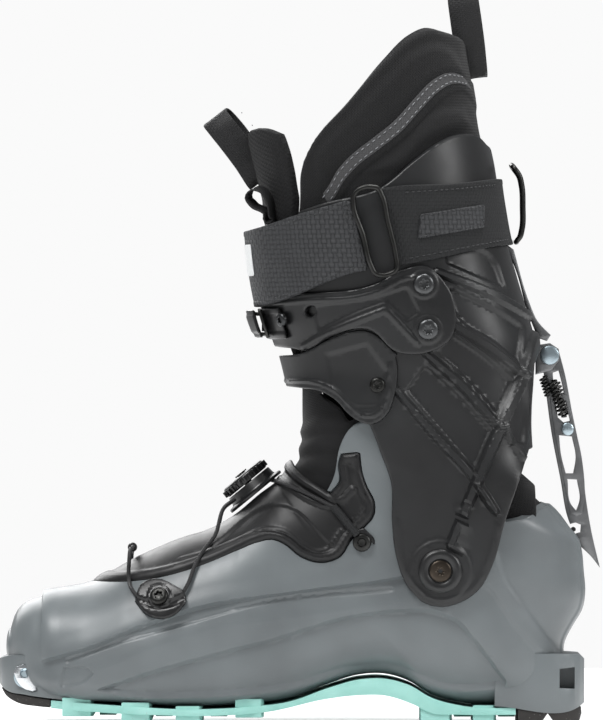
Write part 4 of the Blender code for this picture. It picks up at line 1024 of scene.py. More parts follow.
band = plate("sole_band", [SOLE_TOP + SOLE_UNDER], -60, 60, sole_mint, 0.01, corner=25)
trimmed(band, plate("sole_plan", [plan(SOLE_PLAN)], -3, 45, sole_mint, 0.01, "xy"), "INTERSECT")
rounded(band, 0.8)
place(band, "lower_boot", "sole_mint", "sole")

toe_block = plate("toe_block", [[(-143.4, 16.7), (-141.2, 13.4), (-136, 10.2), (-126, 8.4), (-119.9, 7.9),
                                 (-119.9, 11.6), (-132, 13.3), (-141, 15.2)]], -60, 60, hard_rubber, 0.01)
trimmed(toe_block, plate("toe_plan", [plan(TOE_PLAN, 0.8)], 0, 40, hard_rubber, 0.01, "xy"), "INTERSECT")
place(rounded(toe_block, 0.6), "lower_boot", "rubber", "toe_rubber")
heel_block = plate("heel_block", [[(103, 0), (113.5, 0), (117.2, 5.2), (121, 0), (132, 0), (133.6, 5),
                                   (133.4, 8), (103, 7.8)]], -60, 60, hard_rubber, 0.01, corner=20)
trimmed(heel_block, plate("heel_plan", [plan(HEEL_PLAN, 0.6)], -1, 40, hard_rubber, 0.01, "xy"), "INTERSECT")
place(rounded(heel_block, 0.6), "lower_boot", "rubber", "heel_rubber")
print("sole band and end blocks made")

# %% [markdown]
# ## A tool that repeats a shape
# Screws, rivets, lugs and stitches are each one small shape, repeated. The tree below takes points with a
# direction and a length on each, puts a shape there, and turns it to face that way. Realize Instances turns
# the copies into plain mesh, and the evaluated result is kept while the modifier goes.

# %% Geometry Nodes: a shape on every point


def repeat_tree():
    tree = bpy.data.node_groups.new("repeat_on_points", "GeometryNodeTree")
    face = tree.interface
    for name, kind in (("Points", "NodeSocketGeometry"), ("Shape", "NodeSocketObject"),
                       ("Size", "NodeSocketFloat"), ("Spin", "NodeSocketFloat"),
                       ("Finish", "NodeSocketMaterial")):
        face.new_socket(name, in_out="INPUT", socket_type=kind)
    face.new_socket("Result", in_out="OUTPUT", socket_type="NodeSocketGeometry")
    given = add(tree, "NodeGroupInput").outputs
    shape = add(tree, "GeometryNodeObjectInfo", {"Object": given["Shape"]})
    way = add(tree, "GeometryNodeInputNamedAttribute", {"Name": "way"}, data_type="FLOAT_VECTOR")
    side = add(tree, "GeometryNodeInputNamedAttribute", {"Name": "side"}, data_type="FLOAT_VECTOR")
    spin = add(tree, "FunctionNodeRandomValue", {2: 0.0, 3: given["Spin"], "Seed": 7}, data_type="FLOAT")
    facing = add(tree, "FunctionNodeAlignRotationToVector", {"Vector": way.outputs[0]}, axis="Z")
    along = add(tree, "FunctionNodeAlignRotationToVector",
                {"Rotation": facing.outputs[0], "Vector": side.outputs[0]},
                axis="X", pivot_axis="Z")
    turn = add(tree, "ShaderNodeCombineXYZ", {2: spin.outputs[1]})
    spun = add(tree, "FunctionNodeRotateRotation", {0: along.outputs[0], 1: turn.outputs[0]},
               rotation_space="LOCAL")
    placed = add(tree, "GeometryNodeInstanceOnPoints", {
        "Points": given["Points"], "Instance": shape.outputs["Geometry"], "Rotation": spun.outputs[0],
        "Scale": given["Size"]})
    real = add(tree, "GeometryNodeRealizeInstances", {0: placed.outputs[0]})
    painted = add(tree, "GeometryNodeSetMaterial", {0: real.outputs[0], "Material": given["Finish"]})
    add(tree, "NodeGroupOutput", {0: painted.outputs[0]})
    return tree


REPEAT = repeat_tree()


def repeated(name, shape, points, ways, material, sides=None, size=1.0, spin=0.0):
    """The shape on every point (mm), its Z turned to that point's way and its X towards that point's side."""
    mesh = bpy.data.meshes.new(name)
    mesh.from_pydata((np.array(points, float) * MM).tolist(), [], [])
    for label, values in (("way", ways), ("side", sides if sides is not None else [(1, 0, 0)] * len(points))):
        layer = mesh.attributes.new(label, "FLOAT_VECTOR", "POINT")
        layer.data.foreach_set("vector", np.array(values, np.float32).ravel())
    holder = bpy.data.objects.new(name, mesh)
    bpy.context.scene.collection.objects.link(holder)
    step = holder.modifiers.new("repeat", "NODES")
    step.node_group = REPEAT
    values = {"Shape": shape, "Size": size, "Spin": spin, "Finish": material}
    for item in REPEAT.interface.items_tree:
        if item.item_type == "SOCKET" and item.in_out == "INPUT" and item.name in values:
            step[item.identifier] = values[item.name]
    made = bpy.data.meshes.new_from_object(holder.evaluated_get(bpy.context.evaluated_depsgraph_get()))
    holder.modifiers.remove(step)
    holder.data = made
    bpy.data.meshes.remove(mesh)
    bpy.data.objects.remove(shape)
    made.shade_smooth()
    made.set_sharp_from_angle(angle=math.radians(35))
    if not made.materials:
        made.materials.append(material)
    return holder


# %% Build the lugs and the green insets


def block(name, outline, low, high, material, bevel=0.5):
    """A small plan block centred on the origin, for repeating."""
    return plate(name, [outline], low, high, material, bevel, "xy", step=4)


def tread_rows(rows, pitch):
    """Points of a tread plan: for each (x, foot z), places across the sole, pitch apart."""
    xs, halves = zip(*SOLE_PLAN)
    points = []
    for x, foot in rows:
        half = np.interp(x, xs, halves) - 6.5
        middle = np.interp(x, *zip(*SKEW_KEYS))
        count = max(2, int(2 * half / pitch) + 1)
        points += [(x, middle + y, foot) for y in np.linspace(-half, half, count)]
    return points


for low, high, foot in LUGS:
    half = (high - low) / 2 - 0.4
    chevron = [(-half, -5.6), (half - 1.5, -5.6), (half, 0), (half - 1.5, 5.6), (-half, 5.6),
               (-half + 1.5, 0)]
    lug = block("lug", chevron, 0, 9.0, sole_mint)
    rows = tread_rows([((low + high) / 2, foot + 0.02)], 13.4)
    lugs = repeated(f"lugs_{abs(round(low))}", lug, rows, [(0, 0, 1)] * len(rows), sole_mint)
    place(lugs, "lower_boot", "sole_mint")
INSETS = [(-92.2, 5.2), (-65.4, 4.6), (-39.3, 4.6), (76.6, 4.5), (97.6, 4.5)]
inset = block("inset", [(-4, -31), (4, -31), (4, 31), (-4, 31)], -0.9, 0.7, sole_green, 0.2)
rows = [(x, np.interp(x, *zip(*SKEW_KEYS)), z) for x, z in INSETS]
place(repeated("tread_insets", inset, rows, [(0, 0, 1)] * len(rows), sole_green), "lower_boot", "sole_mint")
print("tread blocks placed")
# %% [markdown]
# ## The instep cover
# A soft black moulding is riveted over the instep. It lies flush in the shell's pocket, with a raised glossy
# bead all round, a second bead in a V over the ankle notch, and a long recess at its foot.

# %% Build the instep cover

COVER_RECESS = [(-43.4, 84.2), (-12.7, 104.5), (-9.8, 104.5), (15.1, 84.6), (9.8, 81.7), (4.1, 82.4),
                (-8.4, 90.6), (-18, 92)]
cover_field = area_field(COVER_EDGE)


def cover_bead(p):
    """Inside the bead: a band between 1 and 4 mm from the cover's edge."""
    return 1.5 - np.abs(cover_field(p) - 2.4)


V_BEAD = [(-20, 128), (-12, 118), (-4, 112), (6, 106.5), (12.4, 104.6), (17.8, 106.4), (24.5, 112)]
INNER_BEAD = [(-58, 78.6), (-44, 82.6), (-31, 88), (-19, 93.4), (-8.5, 92.4), (1, 85.6), (8, 82.6),
              (12.5, 84),
              (17.6, 91), (24.6, 97.6), (29.6, 103.5), (26, 111)]
cover_relief = [
    (cover_bead, -0.9, 0.9, 1.1),
    (stroke_field(V_BEAD, 1.5), -0.9, 0.9, 1.0),
    (stroke_field(INNER_BEAD, 0.9, taper=0.4), -0.8, 0.8, 0.7),
    (area_field(COVER_RECESS), -0.8, 0.8, -1.0),
]
cover_keys = np.concatenate([np.arange(-112, -30, 1.3), np.arange(-30, 73, 0.7)])
cover = wall("instep_cover_skin", SHELL, cover_keys, 0.2, 1.9, cover_black, COVER_EDGE, relief=cover_relief,
             across=quick_across, edge=0.7)
place(cover, "lower_boot", "trim_black", "instep_cover")
print("cover:", len(cover.data.polygons), "faces")

# %% [markdown]
# ## The gaiter
# A stretch-cloth gaiter closes the shell's throat in front of the ankle and behind the heel. It is thin, so
# it is a sheet that lies just inside the shell and bellows a little where the ankle bends.

# %% Build the gaiter, front and rear


def across_ankle(piece, start, end, slot, *nodes):
    """Cloth across the ankle: its transform is baked into its mesh, and the CAD nodes it stands for are
    hidden.
    start, end and slot are not used."""
    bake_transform(piece)
    if nodes:
        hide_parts(*nodes)



FOLDS = [[(-10, 118), (8, 124), (24, 121)], [(-8, 127), (10, 134), (30, 130)],
         [(-3, 137), (12, 144), (28, 141)],
         [(-90, 68), (-60, 78), (-30, 88)], [(-96, 70.5), (-70, 74.5), (-48, 83)]]
gaiter_side = [(-98, 66), (-84, 62), (-30, 74), (0, 78), (14, 98), (26, 110), (31, 126), (32, 140)]
gaiter_side += arc(*PIVOT, 83, 22, 32, 4) + [(18, 150), (9, 157), (4.4, 167), (-30, 169), (-100, 120)]
fold_relief = [(stroke_field(line, 3.2, taper=0.6), -2.4, 2.8, 1.3) for line in FOLDS]
gaiter = wall("gaiter_cloth_front", SHELL,
              np.concatenate([np.arange(-108, -30, 1.8), np.arange(-30, 80, 0.9)]), -4.6,
              1.6, gaiter_cloth, gaiter_side, relief=fold_relief, across=140, edge=0.6)
across_ankle(gaiter, (14, 0, 134), (8, 0, 160), "gaiter_fabric", "gaiter")
rear_side = [(94, 92), (130, 92)] + arc(*PIVOT, 65.2, -66, -26, 9) + [(92, 112)]
rear_gaiter = wall("gaiter_cloth_rear", SHELL, np.arange(20, 72, 0.8), -4.6, 1.6, gaiter_cloth, rear_side,
                   sides=(-33, 33), across=140, edge=0.6)
place(rear_gaiter, "lower_boot", "gaiter_fabric", "gaiter_rear")


def flat_size(piece):
    """Half the area of a thin sheet's surface, in square metres, and its UV extent in metres."""
    area = sum(face.area for face in piece.data.polygons) / 2
    uv = np.empty(len(piece.data.uv_layers[0].data) * 2, np.float32)
    piece.data.uv_layers[0].data.foreach_get("uv", uv)
    uv = uv.reshape(-1, 2)
    return area, uv.max(axis=0) - uv.min(axis=0)


for cloth_piece in (gaiter, rear_gaiter):
    area, (width, length) = flat_size(cloth_piece)
    print(cloth_piece.name, "flat", round(float(width), 3), "x", round(float(length), 3), "m, area",
          round(area, 4))

# %% [markdown]
# ## The dial and its lace
# A dial on the instep winds one thin braided cord. The cord runs down both sides to a guide, forward over the
# toes, and back up to an anchor at each ankle, where a woven sleeve ends under a screw. The knob has a grip
# of small teeth: one tooth, repeated round a circle.

# %% Build the dial

DIAL_AT = np.array((-21.6, 0, 110.0))
DIAL_AXIS = np.array((-0.636, 0, 0.772)) / np.linalg.norm((-0.636, 0, 0.772))


def dial_at(height):
    return tuple(DIAL_AT + DIAL_AXIS * height)


cup_profile = [(15.2, -0.2), (15.4, 0.3), (15.4, 1.0), (14.8, 1.5), (13.0, 1.9), (12.5, 2.6), (12.2, 5.6),
               (11.9, 6.0),
               (10.0, 6.0), (9.7, 5.7), (9.6, 1.3), (0.3, 1.2)]
cup = turned("dial_cup", cup_profile, dial_at(0), DIAL_AXIS, clip_black, 64)
place(cup, "lower_boot", "trim_black", "dial_base")
spool_profile = [(2.6, 1.6), (8.6, 1.6), (8.8, 1.8), (8.8, 2.3), (6.2, 2.8), (6.0, 3.6), (6.2, 4.3),
                 (8.8, 4.7),
                 (8.8, 5.2), (8.6, 5.4), (2.6, 5.4)]
spool = turned("dial_drum", spool_profile, dial_at(0), DIAL_AXIS, clip_black, 48)
place(spool, "dial_spool", "trim_black", "dial_spool")
stem = turned("dial_post",
              [(2.1, 2), (2.1, 11.4), (3.2, 11.5), (3.4, 11.8), (3.3, 12.1), (2.8, 12.3), (1.2, 12.2)],
              dial_at(0), DIAL_AXIS, dark_steel, 32)
place(stem, "dial_stem", "dark_steel", "dial_stem")
knob_profile = [(2.6, 6.5), (11.0, 6.5), (11.6, 6.8), (11.8, 7.4), (11.8, 9.6), (11.5, 10.4), (10.8, 10.9),
                (9.4, 11.1), (8.6, 10.7), (4.2, 10.5), (3.9, 11.0), (2.6, 11.0)]
knob = turned("dial_knob_body", knob_profile, dial_at(0), DIAL_AXIS, clip_black, 72)
place(knob, "dial_knob", "trim_black", "dial_knob")
tooth = block("tooth", [(-0.9, -0.5), (0.7, -0.55), (0.9, 0), (0.7, 0.55), (-0.9, 0.5)], -1.5, 1.5,
              clip_black, 0.2)
turn = np.array(Vector(DIAL_AXIS).to_track_quat("Z", "Y").to_matrix())
around = [turn @ np.array((math.cos(a), math.sin(a), 0)) for a in np.linspace(0, 2 * math.pi, 28,
                                                                              endpoint=False)]
teeth = repeated("dial_teeth", tooth, [dial_at(8.5) + way * 11.9 for way in around], [DIAL_AXIS] * 28,
                 clip_black,
                 sides=around)
place(teeth, "dial_knob", "trim_black")
spoke = block("spoke", [(-2.6, -0.45), (2.6, -0.7), (2.6, 0.7), (-2.6, 0.45)], -0.25, 0.35, clip_black, 0.15)
spokes = repeated("dial_spokes", spoke, [dial_at(10.8) + way * 6.5 for way in around[::4]], [DIAL_AXIS] * 7,
                  clip_black, sides=around[::4])
place(spokes, "dial_knob", "trim_black")
print("dial: 28 teeth and 7 spokes")

# %% Build the guides, laces and anchors

GUIDE = [(-79.2, 60), (-77.6, 66.5), (-73, 69.8), (-66.5, 70), (-60.5, 67), (-55.8, 64), (-54.8, 58.6),
         (-60.5, 52.4), (-66, 50.6), (-73, 52.4)]
GUIDE_CHANNEL = [(-80, 60.5), (-74, 58.4), (-68, 57), (-62, 58), (-54, 62)]
lace_length = 0.0
for label, way in (("outer", -1), ("inner", 1)):
    limits = (-120, 0) if way < 0 else (0, 120)
    guide = wall("guide_" + label, SHELL, np.arange(-92, -44, 0.9), 4.0, 3.8, clip_black, GUIDE, sides=limits,
                 relief=[(round_hole(-67.6, 61.4, 5.4), -0.6, 0.6, 0.9),
                         (stroke_field(GUIDE_CHANNEL, 1.4), -0.8, 0.8, -1.2)], across=220, edge=1.2)
    place(guide, "lower_boot", "trim_black", "lace_guide_" + label)
    routes = {
        "lower": [(-31.8, way * 11.2, 107), (-33.6, way * 12.4, 105.6), (-37, way * 18, 102.8)]
        + [SHELL.over(x, z, 2.0, way) for x,
           z in ((-41.5, 89.5), (-46.5, 83.2), (-50.6, 76), (-54, 67), (-56.5, 62.6))],
        "upper": [SHELL.over(x, z, 2.1, way) for x,
                  z in ((-14.6, 116), (-6, 113.6), (3, 109.8), (15.6, 103.6))],
    }
    for part, route in routes.items():
        path = curve_through(route, 1.0, corner=170)
        lace = sweep(f"lace_{part}_{label}_cord", path, round_section(0.95), lace_braid)
        place(lace, "lower_boot", "lace_cord", f"lace_{part}_{label}")
        lace_length += np.linalg.norm(np.diff(path, axis=0), axis=1).sum()
    sleeve_path = curve_through([SHELL.over(x, z, lift, way) for x, z, lift in
                                 ((15.2, 103.8, 2.1), (19, 99.4, 2.4), (23.4, 94.0, 2.4), (26.6, 90.4, 1.8))],
                                0.8)
    place(sweep("lace_sleeve_" + label, sleeve_path, round_section(1.9, 16), web_fine), "lower_boot",
          "lace_cord")
    face = SHELL.side(28.7, 86.8, 0.4, way)
    cap = [(4.4, -1.2), (4.4, 1.2), (4.1, 1.8), (3.4, 2.2), (2.2, 2.2), (1.7, 1.4), (0.1, 1.3)]
    place(turned("anchor_" + label, cap, (28.7, face + way * 0.2, 86.8), (0, way, 0), dark_steel, 40),
          "lower_boot",
          "zinc_steel", "anchor_screw_" + label)
    boss = wall("anchor_boss_" + label, SHELL, np.arange(20, 60, 0.9), 1.3, 1.6, clip_black,
                [(23, 92), (29.5, 93.8), (34.5, 89), (34, 82.5), (28.5, 80), (23.2, 83)], sides=limits,
                across=220, edge=0.8)
    place(boss, "lower_boot", "trim_black")
front_route = [SHELL.over(-78, 61, 2.4), SHELL.over(-80.4, 64, 2.2), SHELL.over(-82.3, 71, 2.0),
               (-82, -32, 79.4),
               (-81, -14, 83.6), (-80.6, 6, 83.8), (-81, 24, 82.2), (-82, 36.5, 78.4),
               SHELL.over(-82.3, 71, 2.0, 1), SHELL.over(-80.4, 64, 2.2, 1), SHELL.over(-78, 61, 2.4, 1)]
path = curve_through(front_route, 1.0, corner=170)
lace_length += np.linalg.norm(np.diff(path, axis=0), axis=1).sum()
place(sweep("lace_front_cord", path, round_section(0.95), lace_braid), "lower_boot", "lace_cord",
      "lace_front")
keeper = turned("toe_keeper", [(1.2, -5), (2.1, -4.6), (2.3, 0), (2.1, 4.6), (1.2, 5)], (-81, 0, 83.8),
                (0, 1, 0), clip_black, 24)
place(keeper, "lower_boot", "trim_black")
print("visible lace:", round(lace_length), "mm")
# %% [markdown]
# ## The cuff
# The cuff turns on two pivots at the ankle. It is one black moulding, thin for its size, and stiffened by
# ribs: one long rib climbs from the pivot to the lever bracket, and short ones cross it and fan to the rear.
# Between the ribs the wall is hollowed. On both sides the ribs are the same, so the relief is mirrored.

# %% Ribs, hollows and edge of the cuff

CUFF_OUTLINE = [(42.9, 96.8), (45.3, 78.6), (50.1, 66.1), (58.2, 58), (66.4, 56.2), (76, 58.5), (84.1, 64.2),
                (90.8, 76.2), (96.1, 94.9), (109, 130.9), (125, 135), (125, 276), (88.9, 276.6), (85.5, 280),
                (75, 280.5), (65.5, 276.5), (53.5, 268), (37, 255), (10, 248), (-2, 244), (-2, 205), (6, 185),
                (20, 164), (31.4, 144.7), (38, 128), (42.4, 115.5)]
MAIN_RIB = [(71, 86), (83.5, 116), (95, 142.5), (104.5, 164), (112, 185.5)]
CROSS_RIBS = [
    [(64, 215.5), (95, 202.5), (110.5, 193.5)],
    [(71, 190.5), (90.5, 178.5), (105.5, 166.5)],
    [(58.5, 177), (76, 161.5), (94, 141.5)],
    [(44.5, 160), (61.5, 140), (82, 117), (92.5, 101.5)],
    [(84.1, 113.2), (88, 107.2), (92.3, 101.2)],
    [(96.6, 141.9), (101, 134.5), (105.2, 127)],
]
CUFF_HOLLOWS = [
    [(68.5, 209), (92.5, 198), (107, 189.5), (104.6, 171.5), (91.5, 182), (75, 192.5)],
    [(62.5, 177.5), (78, 164.5), (93.6, 147.5), (101, 163.5), (88.5, 174.8), (71, 186.6)],
    [(49, 158.8), (64, 141.5), (82, 120.5), (90.8, 139.8), (75, 157), (58.5, 172)],
    [(99, 133), (107, 133.5), (108.6, 150), (107.4, 162), (99.2, 146)],
    [(66, 232), (92, 222), (98, 207), (69, 219)],
]
LOBE_RIM = [(45.6, 97), (47.8, 79.5), (52, 68.2), (59, 60.8), (66.4, 59), (75, 61), (82, 66), (88.2, 77.5),
            (93.2, 95)]
cuff_relief = [(area_field(outline), -0.5, 1.6, -2.0) for outline in CUFF_HOLLOWS]
cuff_relief += [(stroke_field(line, 1.7, taper=0.3), -1.0, 0.5, 2.0) for line in CROSS_RIBS]
cuff_relief += [
    (stroke_field(MAIN_RIB, 2.1, taper=0.2), -1.1, 0.6, 2.6),
    (round_hole(*PIVOT, 14.5), -1.2, 0.8, 0.8),
    (stroke_field(LOBE_RIM, 1.0), -0.8, 0.6, 0.35),
]

# %% Build the cuff wall
leg_keys = np.concatenate([np.arange(11, 56, 0.75), np.arange(56, 64, 0.16), np.arange(64, 133.5, 0.7)])
cuff = wall("cuff_wall", CUFF, leg_keys, -0.1, 2.7, cuff_black, CUFF_OUTLINE, relief=cuff_relief,
            holes=[round_hole(*PIVOT, 6.8)], across=quick_across, edge=1.0)
place(cuff, "cuff", "cuff_black", "cuff_shell")
print("cuff:", len(cuff.data.polygons), "faces")

# %% [markdown]
# ## Front panel and buckle arms
# A curved panel wraps the shin, and over it two stiff arms run forward from the cuff's sides to the buckle.
# Each arm has a bent ridge down its length and two screws at its root.

# %% Build the panel and arms

PANEL_OUTLINE = [(-20, 162), (0, 160), (8, 159), (16, 154.5), (23, 147), (29, 143.5), (34, 143), (40, 147),
                 (44, 156.5), (45.4, 171), (44.5, 175.5), (45.5, 176), (31.5, 187), (13.5, 183.5),
                 (0.5, 177), (-30, 177)]
ARM_OUTLINE = [(-40, 180), (-5.5, 179), (0.5, 178), (13.5, 184.5), (31.5, 188), (45.5, 177), (63, 178),
               (69.5, 182), (72.5, 201.5), (64.5, 214.5), (61, 217.5), (47, 216), (36, 210), (30, 208),
               (1, 205), (-40, 199)]
ARM_RIDGE = [(1, 180), (7, 183.6), (22, 190.5), (30, 193.6), (40, 197.5), (48, 189), (55.5, 181)]
ARM_TOP_STEP = [(-38, 197), (0, 201.5), (30, 204), (37, 206.2), (48, 212), (59, 213)]
ARM_SCREWS = [(58, 209.5), (60, 188)]
panel_relief = [(stroke_field([(-10, 163.5), (8, 162.6), (17.5, 158), (25, 150.2), (30, 147), (33.5, 147),
                               (37.5, 150),
                               (41, 158), (42, 171)], 0.8), -0.7, 0.7, 0.6),
                (area_field([(16, 160.5), (26, 152), (36, 152), (40.5, 168), (31, 181), (12, 176)]), -1.2,
                 1.2, -0.5)]
panel = wall("shin_panel", CUFF, np.arange(leg_key(137), leg_key(193), 0.7), 2.2, 1.7, trim_black,
             PANEL_OUTLINE,
             relief=panel_relief, across=quick_across, edge=0.6)
place(panel, "cuff", "trim_black", "front_panel")
for label, way in (("outer", -1), ("inner", 1)):
    limits = (-120, -8) if way < 0 else (8, 120)
    arm_relief = [(stroke_field(ARM_RIDGE, 1.3, taper=0.3), -1.0, 1.0, 0.9),
                  (stroke_field(ARM_TOP_STEP, 0.8), -0.7, 0.7, 0.5),
                  (area_field([(8, 187.5), (30, 197.5), (40, 201), (50, 192), (56, 196), (50, 208),
                               (36, 203.5), (5, 199)]),
                   -0.8, 0.8, -0.6)]
    arm_relief += [(round_hole(x, z, 6.6), -0.9, 0.5, 0.5) for x, z in ARM_SCREWS]
    arm = wall("buckle_arm_" + label, CUFF, np.arange(leg_key(174), leg_key(221), 0.6), 3.1, 2.5, trim_black,
               ARM_OUTLINE, sides=limits, relief=arm_relief, holes=[round_hole(4, 196.5, 2.6, way)],
               across=quick_across + 30, edge=0.8)
    place(arm, "cuff", "trim_black", "buckle_arm" if way < 0 else "ladder_arm")
print("panel and arms built")

# %% [markdown]
# ## Screws and rivets
# Two arm screws a side, a panel rivet, a guide rivet and the buckle screw all share
# one head:
# a low domed button with a six-lobed socket. It is modelled once and repeated on its seats.

# %% Build one screw head and put it on every seat


def screw_head(name, material, lobes=6, radius=5.0, height=2.3, socket=2.3):
    """A domed head with a lobed socket, standing on the origin."""
    sides = 48
    angles = 2 * math.pi * np.arange(sides) / sides
    lobe = socket * (0.86 + 0.14 * np.cos(lobes * angles))
    rings = [(np.full(sides, radius), -0.6), (np.full(sides, radius), 0.35 * height),
             (np.full(sides, 0.96 * radius), 0.62 * height), (np.full(sides, 0.84 * radius), 0.85 * height),
             (np.full(sides, 0.66 * radius), height), (lobe + 0.35, height), (lobe, height - 0.25),
             (lobe * 0.96, height - 1.3), (np.full(sides, 0.1), height - 1.5)]
    points = np.concatenate([np.column_stack([r * np.cos(angles), r * np.sin(angles), np.full(sides, h)])
                             for r, h in rings])
    faces = [[k * sides + i, k * sides + (i + 1) % sides, (k + 1) * sides + (i + 1) % sides,
              (k + 1) * sides + i]
             for k in range(len(rings) - 1) for i in range(sides)]
    faces += [list(range(sides))[::-1], [len(points) - sides + i for i in range(sides)]]
    return mesh_object(name, points, faces, material, sharp=28)


def seat(skin, x, z, lift, way):
    """A seat on a skin: its point and its outward direction."""
    at = np.array(skin.over(x, z, lift, way))
    along = np.array(skin.over(x + 1.5, z, lift, way)) - np.array(skin.over(x - 1.5, z, lift, way))
    up = np.array(skin.over(x, z + 1.5, lift, way)) - np.array(skin.over(x, z - 1.5, lift, way))
    out = np.cross(along, up)
    return at, out / np.linalg.norm(out) * math.copysign(1, out[1]) * way


groups = {
    "arm_screws": ("cuff", screw_black, 5.0,
                   [(CUFF, x, z, 3.4, way) for x, z in ARM_SCREWS for way in (-1, 1)],
                   ("arm_screw_upper", "arm_screw_lower")),
    "panel_rivets": ("cuff", dark_steel, 3.7, [(CUFF, 36, 161.5, 1.9, way) for way in (-1, 1)],
                     ("panel_rivet",)),
    "guide_rivets": ("lower_boot", dark_steel, 4.4, [(SHELL, -67.6, 61.4, 4.7, way) for way in (-1, 1)],
                     ("guide_rivet",)),
    "buckle_screws": ("cuff", screw_black, 3.4, [(CUFF, -9.5, 192.6, 5.4, -1)], ("buckle_screw",)),
}
for name, (body, finish, radius, seats, nodes) in groups.items():
    head = screw_head("head", finish, radius=radius, height=0.42 * radius, socket=0.46 * radius)
    places, ways = zip(*(seat(*row) for row in seats))
    place(repeated(name, head, places, ways, finish, spin=1.0), body, "zinc_steel", *nodes)
print("screws and rivets:", sum(len(row[3]) for row in groups.values()))

# %% [markdown]
# ## The pivots
# The cuff turns on a flanged bush at each ankle. The bush is glossy black, and its screw is a burnished
# brown disc with a hexagonal socket, sunk in the flange.

# %% Build the pivots

for label, way in (("outer", -1), ("inner", 1)):
    bush = [(6.5, 41.6), (6.5, 48.9), (9.4, 48.9), (10.2, 49.3), (10.4, 50.2), (9.8, 51.1), (8.6, 51.6),
            (7.0, 51.5),
            (5.9, 50.9), (5.6, 50.0), (0.4, 49.9)]
    place(turned("pivot_flange_" + label, bush, (PIVOT[0], 0, PIVOT[1]), (0, way, 0), trim_black, 64),
          "lower_boot",
          "trim_black", "pivot_bush_" + label)
    head = screw_head("pivot_head", pivot_bronze, 6, 5.3, 1.2, 2.0)
    place(repeated("pivot_bolt_" + label, head, [(PIVOT[0], way * 50.1, PIVOT[1])], [(0, way, 0)],
                   pivot_bronze),
          "lower_boot", "dark_steel", "pivot_screw_" + label)
print("pivots built")

# %% [markdown]
# ## The front buckle
# A toothed ladder is screwed to the inner arm, and a lever with a wire bail to the outer one. The bail hooks
# over a tooth, and the lever pulls it tight as it closes. Plates follow the shin's curve, so they are walls
# of the same skin. The teeth are one wedge, repeated down the ladder.

# %% Build the buckle

LATCH_LOW, LATCH_HIGH = 183.5, 198.0
buckle_keys = np.arange(leg_key(180), leg_key(201), 0.5)


def latch_band(shrink):
    low, high = LATCH_LOW + shrink, LATCH_HIGH - shrink
    return [(-60, low), (12, low), (12, high), (-60, high)]


lever_dip = [(-60, 186.6), (12, 186.6), (12, 194.9), (-60, 194.9)]
base = wall("buckle_plate", CUFF, buckle_keys, 5.3, 1.5, clip_black, latch_band(0), sides=(-36, -10),
            across=260, edge=0.5,
            relief=[(area_field(lever_dip), -0.6, 0.6, -0.5)])
place(base, "cuff", "trim_black", "buckle_base")
ladder = wall("buckle_rack", CUFF, buckle_keys, 5.3, 1.5, clip_black, latch_band(0.8), sides=(13, 46),
              across=260, edge=0.5)
place(ladder, "cuff", "trim_black", "buckle_ladder")
lever = wall("buckle_handle", CUFF, buckle_keys, 10.6, 1.3, clip_black, latch_band(0.8), sides=(-24.6, 17),
             across=260,
             edge=0.5, relief=[(area_field(lever_dip), -0.8, 0.8, 0.6)])
place(lever, "buckle_lever", "trim_black", "buckle_lever")
wedge = block("wedge", [(-1.4, -3.4), (0.9, -3.4), (1.3, 0), (0.9, 3.4), (-1.4, 3.4)], -0.4, 1.9, clip_black,
              0.25)
teeth_y = (21, 27, 33, 39)
spots = [(CUFF.front_x(y, 190.7, 5.2), y, 190.7) for y in teeth_y]
outs = [np.array((CUFF.front_x(y, 190.7, 6.2), y * 1.012, 190.7)) - np.array(p) for y,
        p in zip(teeth_y, spots)]
place(repeated("ladder_teeth", wedge, spots, outs, clip_black, sides=[(0, 1, 0)] * 4), "cuff", "trim_black")

wire = [(y, 195.6) for y in (-8, 0, 10, 18, 22.5)] + [(24.0, 193.6), (24.2, 188)]
wire += [(y, 185.9) for y in (22.5, 18, 10, 0, -8)]
path = curve_through([(CUFF.front_x(y, z, 6.7), y, z) for y, z in wire], 0.8, corner=100)
place(sweep("buckle_wire", path, round_section(0.95, 14), dark_steel), "buckle_bail", "dark_steel",
      "buckle_bail")
foot, head_at = (np.array((CUFF.front_x(-24, z, 7.2), -24, z)) for z in (LATCH_LOW + 0.8, LATCH_HIGH - 0.8))
pin_profile = [(0.7, -0.2), (0.95, 0.2), (0.95, np.linalg.norm(head_at - foot) - 0.2),
               (0.7, np.linalg.norm(head_at - foot) + 0.2)]
place(turned("buckle_axle", pin_profile, foot, head_at - foot, dark_steel, 24), "cuff", "dark_steel",
      "buckle_pin")
print("buckle built, with", len(teeth_y), "ladder teeth")
# %% [markdown]
# ## The power strap
# A 38 mm webbing strap closes the top of the cuff. Its front half is coarse basket weave, and it doubles back
# through a wire ring on the outer side. The rear half is a finer rib weave with a sewn hook patch. Both are
# thin walls of the cuff's skin, so they wrap the leg.

# %% Build the straps

STRAP_OUTLINE = [(-40, 197), (-19, 199.4), (25.5, 215), (34.5, 216.8), (46.5, 218.3), (98.5, 228.5),
                 (125, 231), (125, 262), (99.5, 260.5), (76, 257.5), (35.5, 254), (27, 251), (-0.5, 243),
                 (-25, 235.5), (-40, 233)]


def slant(p, x_low, z_low, x_high, z_high):
    """mm to the right of a slanting line in the side view."""
    length = math.hypot(x_high - x_low, z_high - z_low)
    return ((p[:, 0] - x_low) * (z_high - z_low) - (p[:, 2] - z_low) * (x_high - x_low)) / length


def behind_front_strap(p):
    """The cut of the front strap: at the ring on the outer side, and far back on the inner one."""
    return np.where(p[:, 1] < 0, slant(p, 40.7, 180, 9.9, 300), p[:, 0] - 91.5)


def before_rear_strap(p):
    return np.where(p[:, 1] < 0, -slant(p, 58.0, 180, 22.4, 300), 88.5 - p[:, 0])


strap_area = area_field(STRAP_OUTLINE)


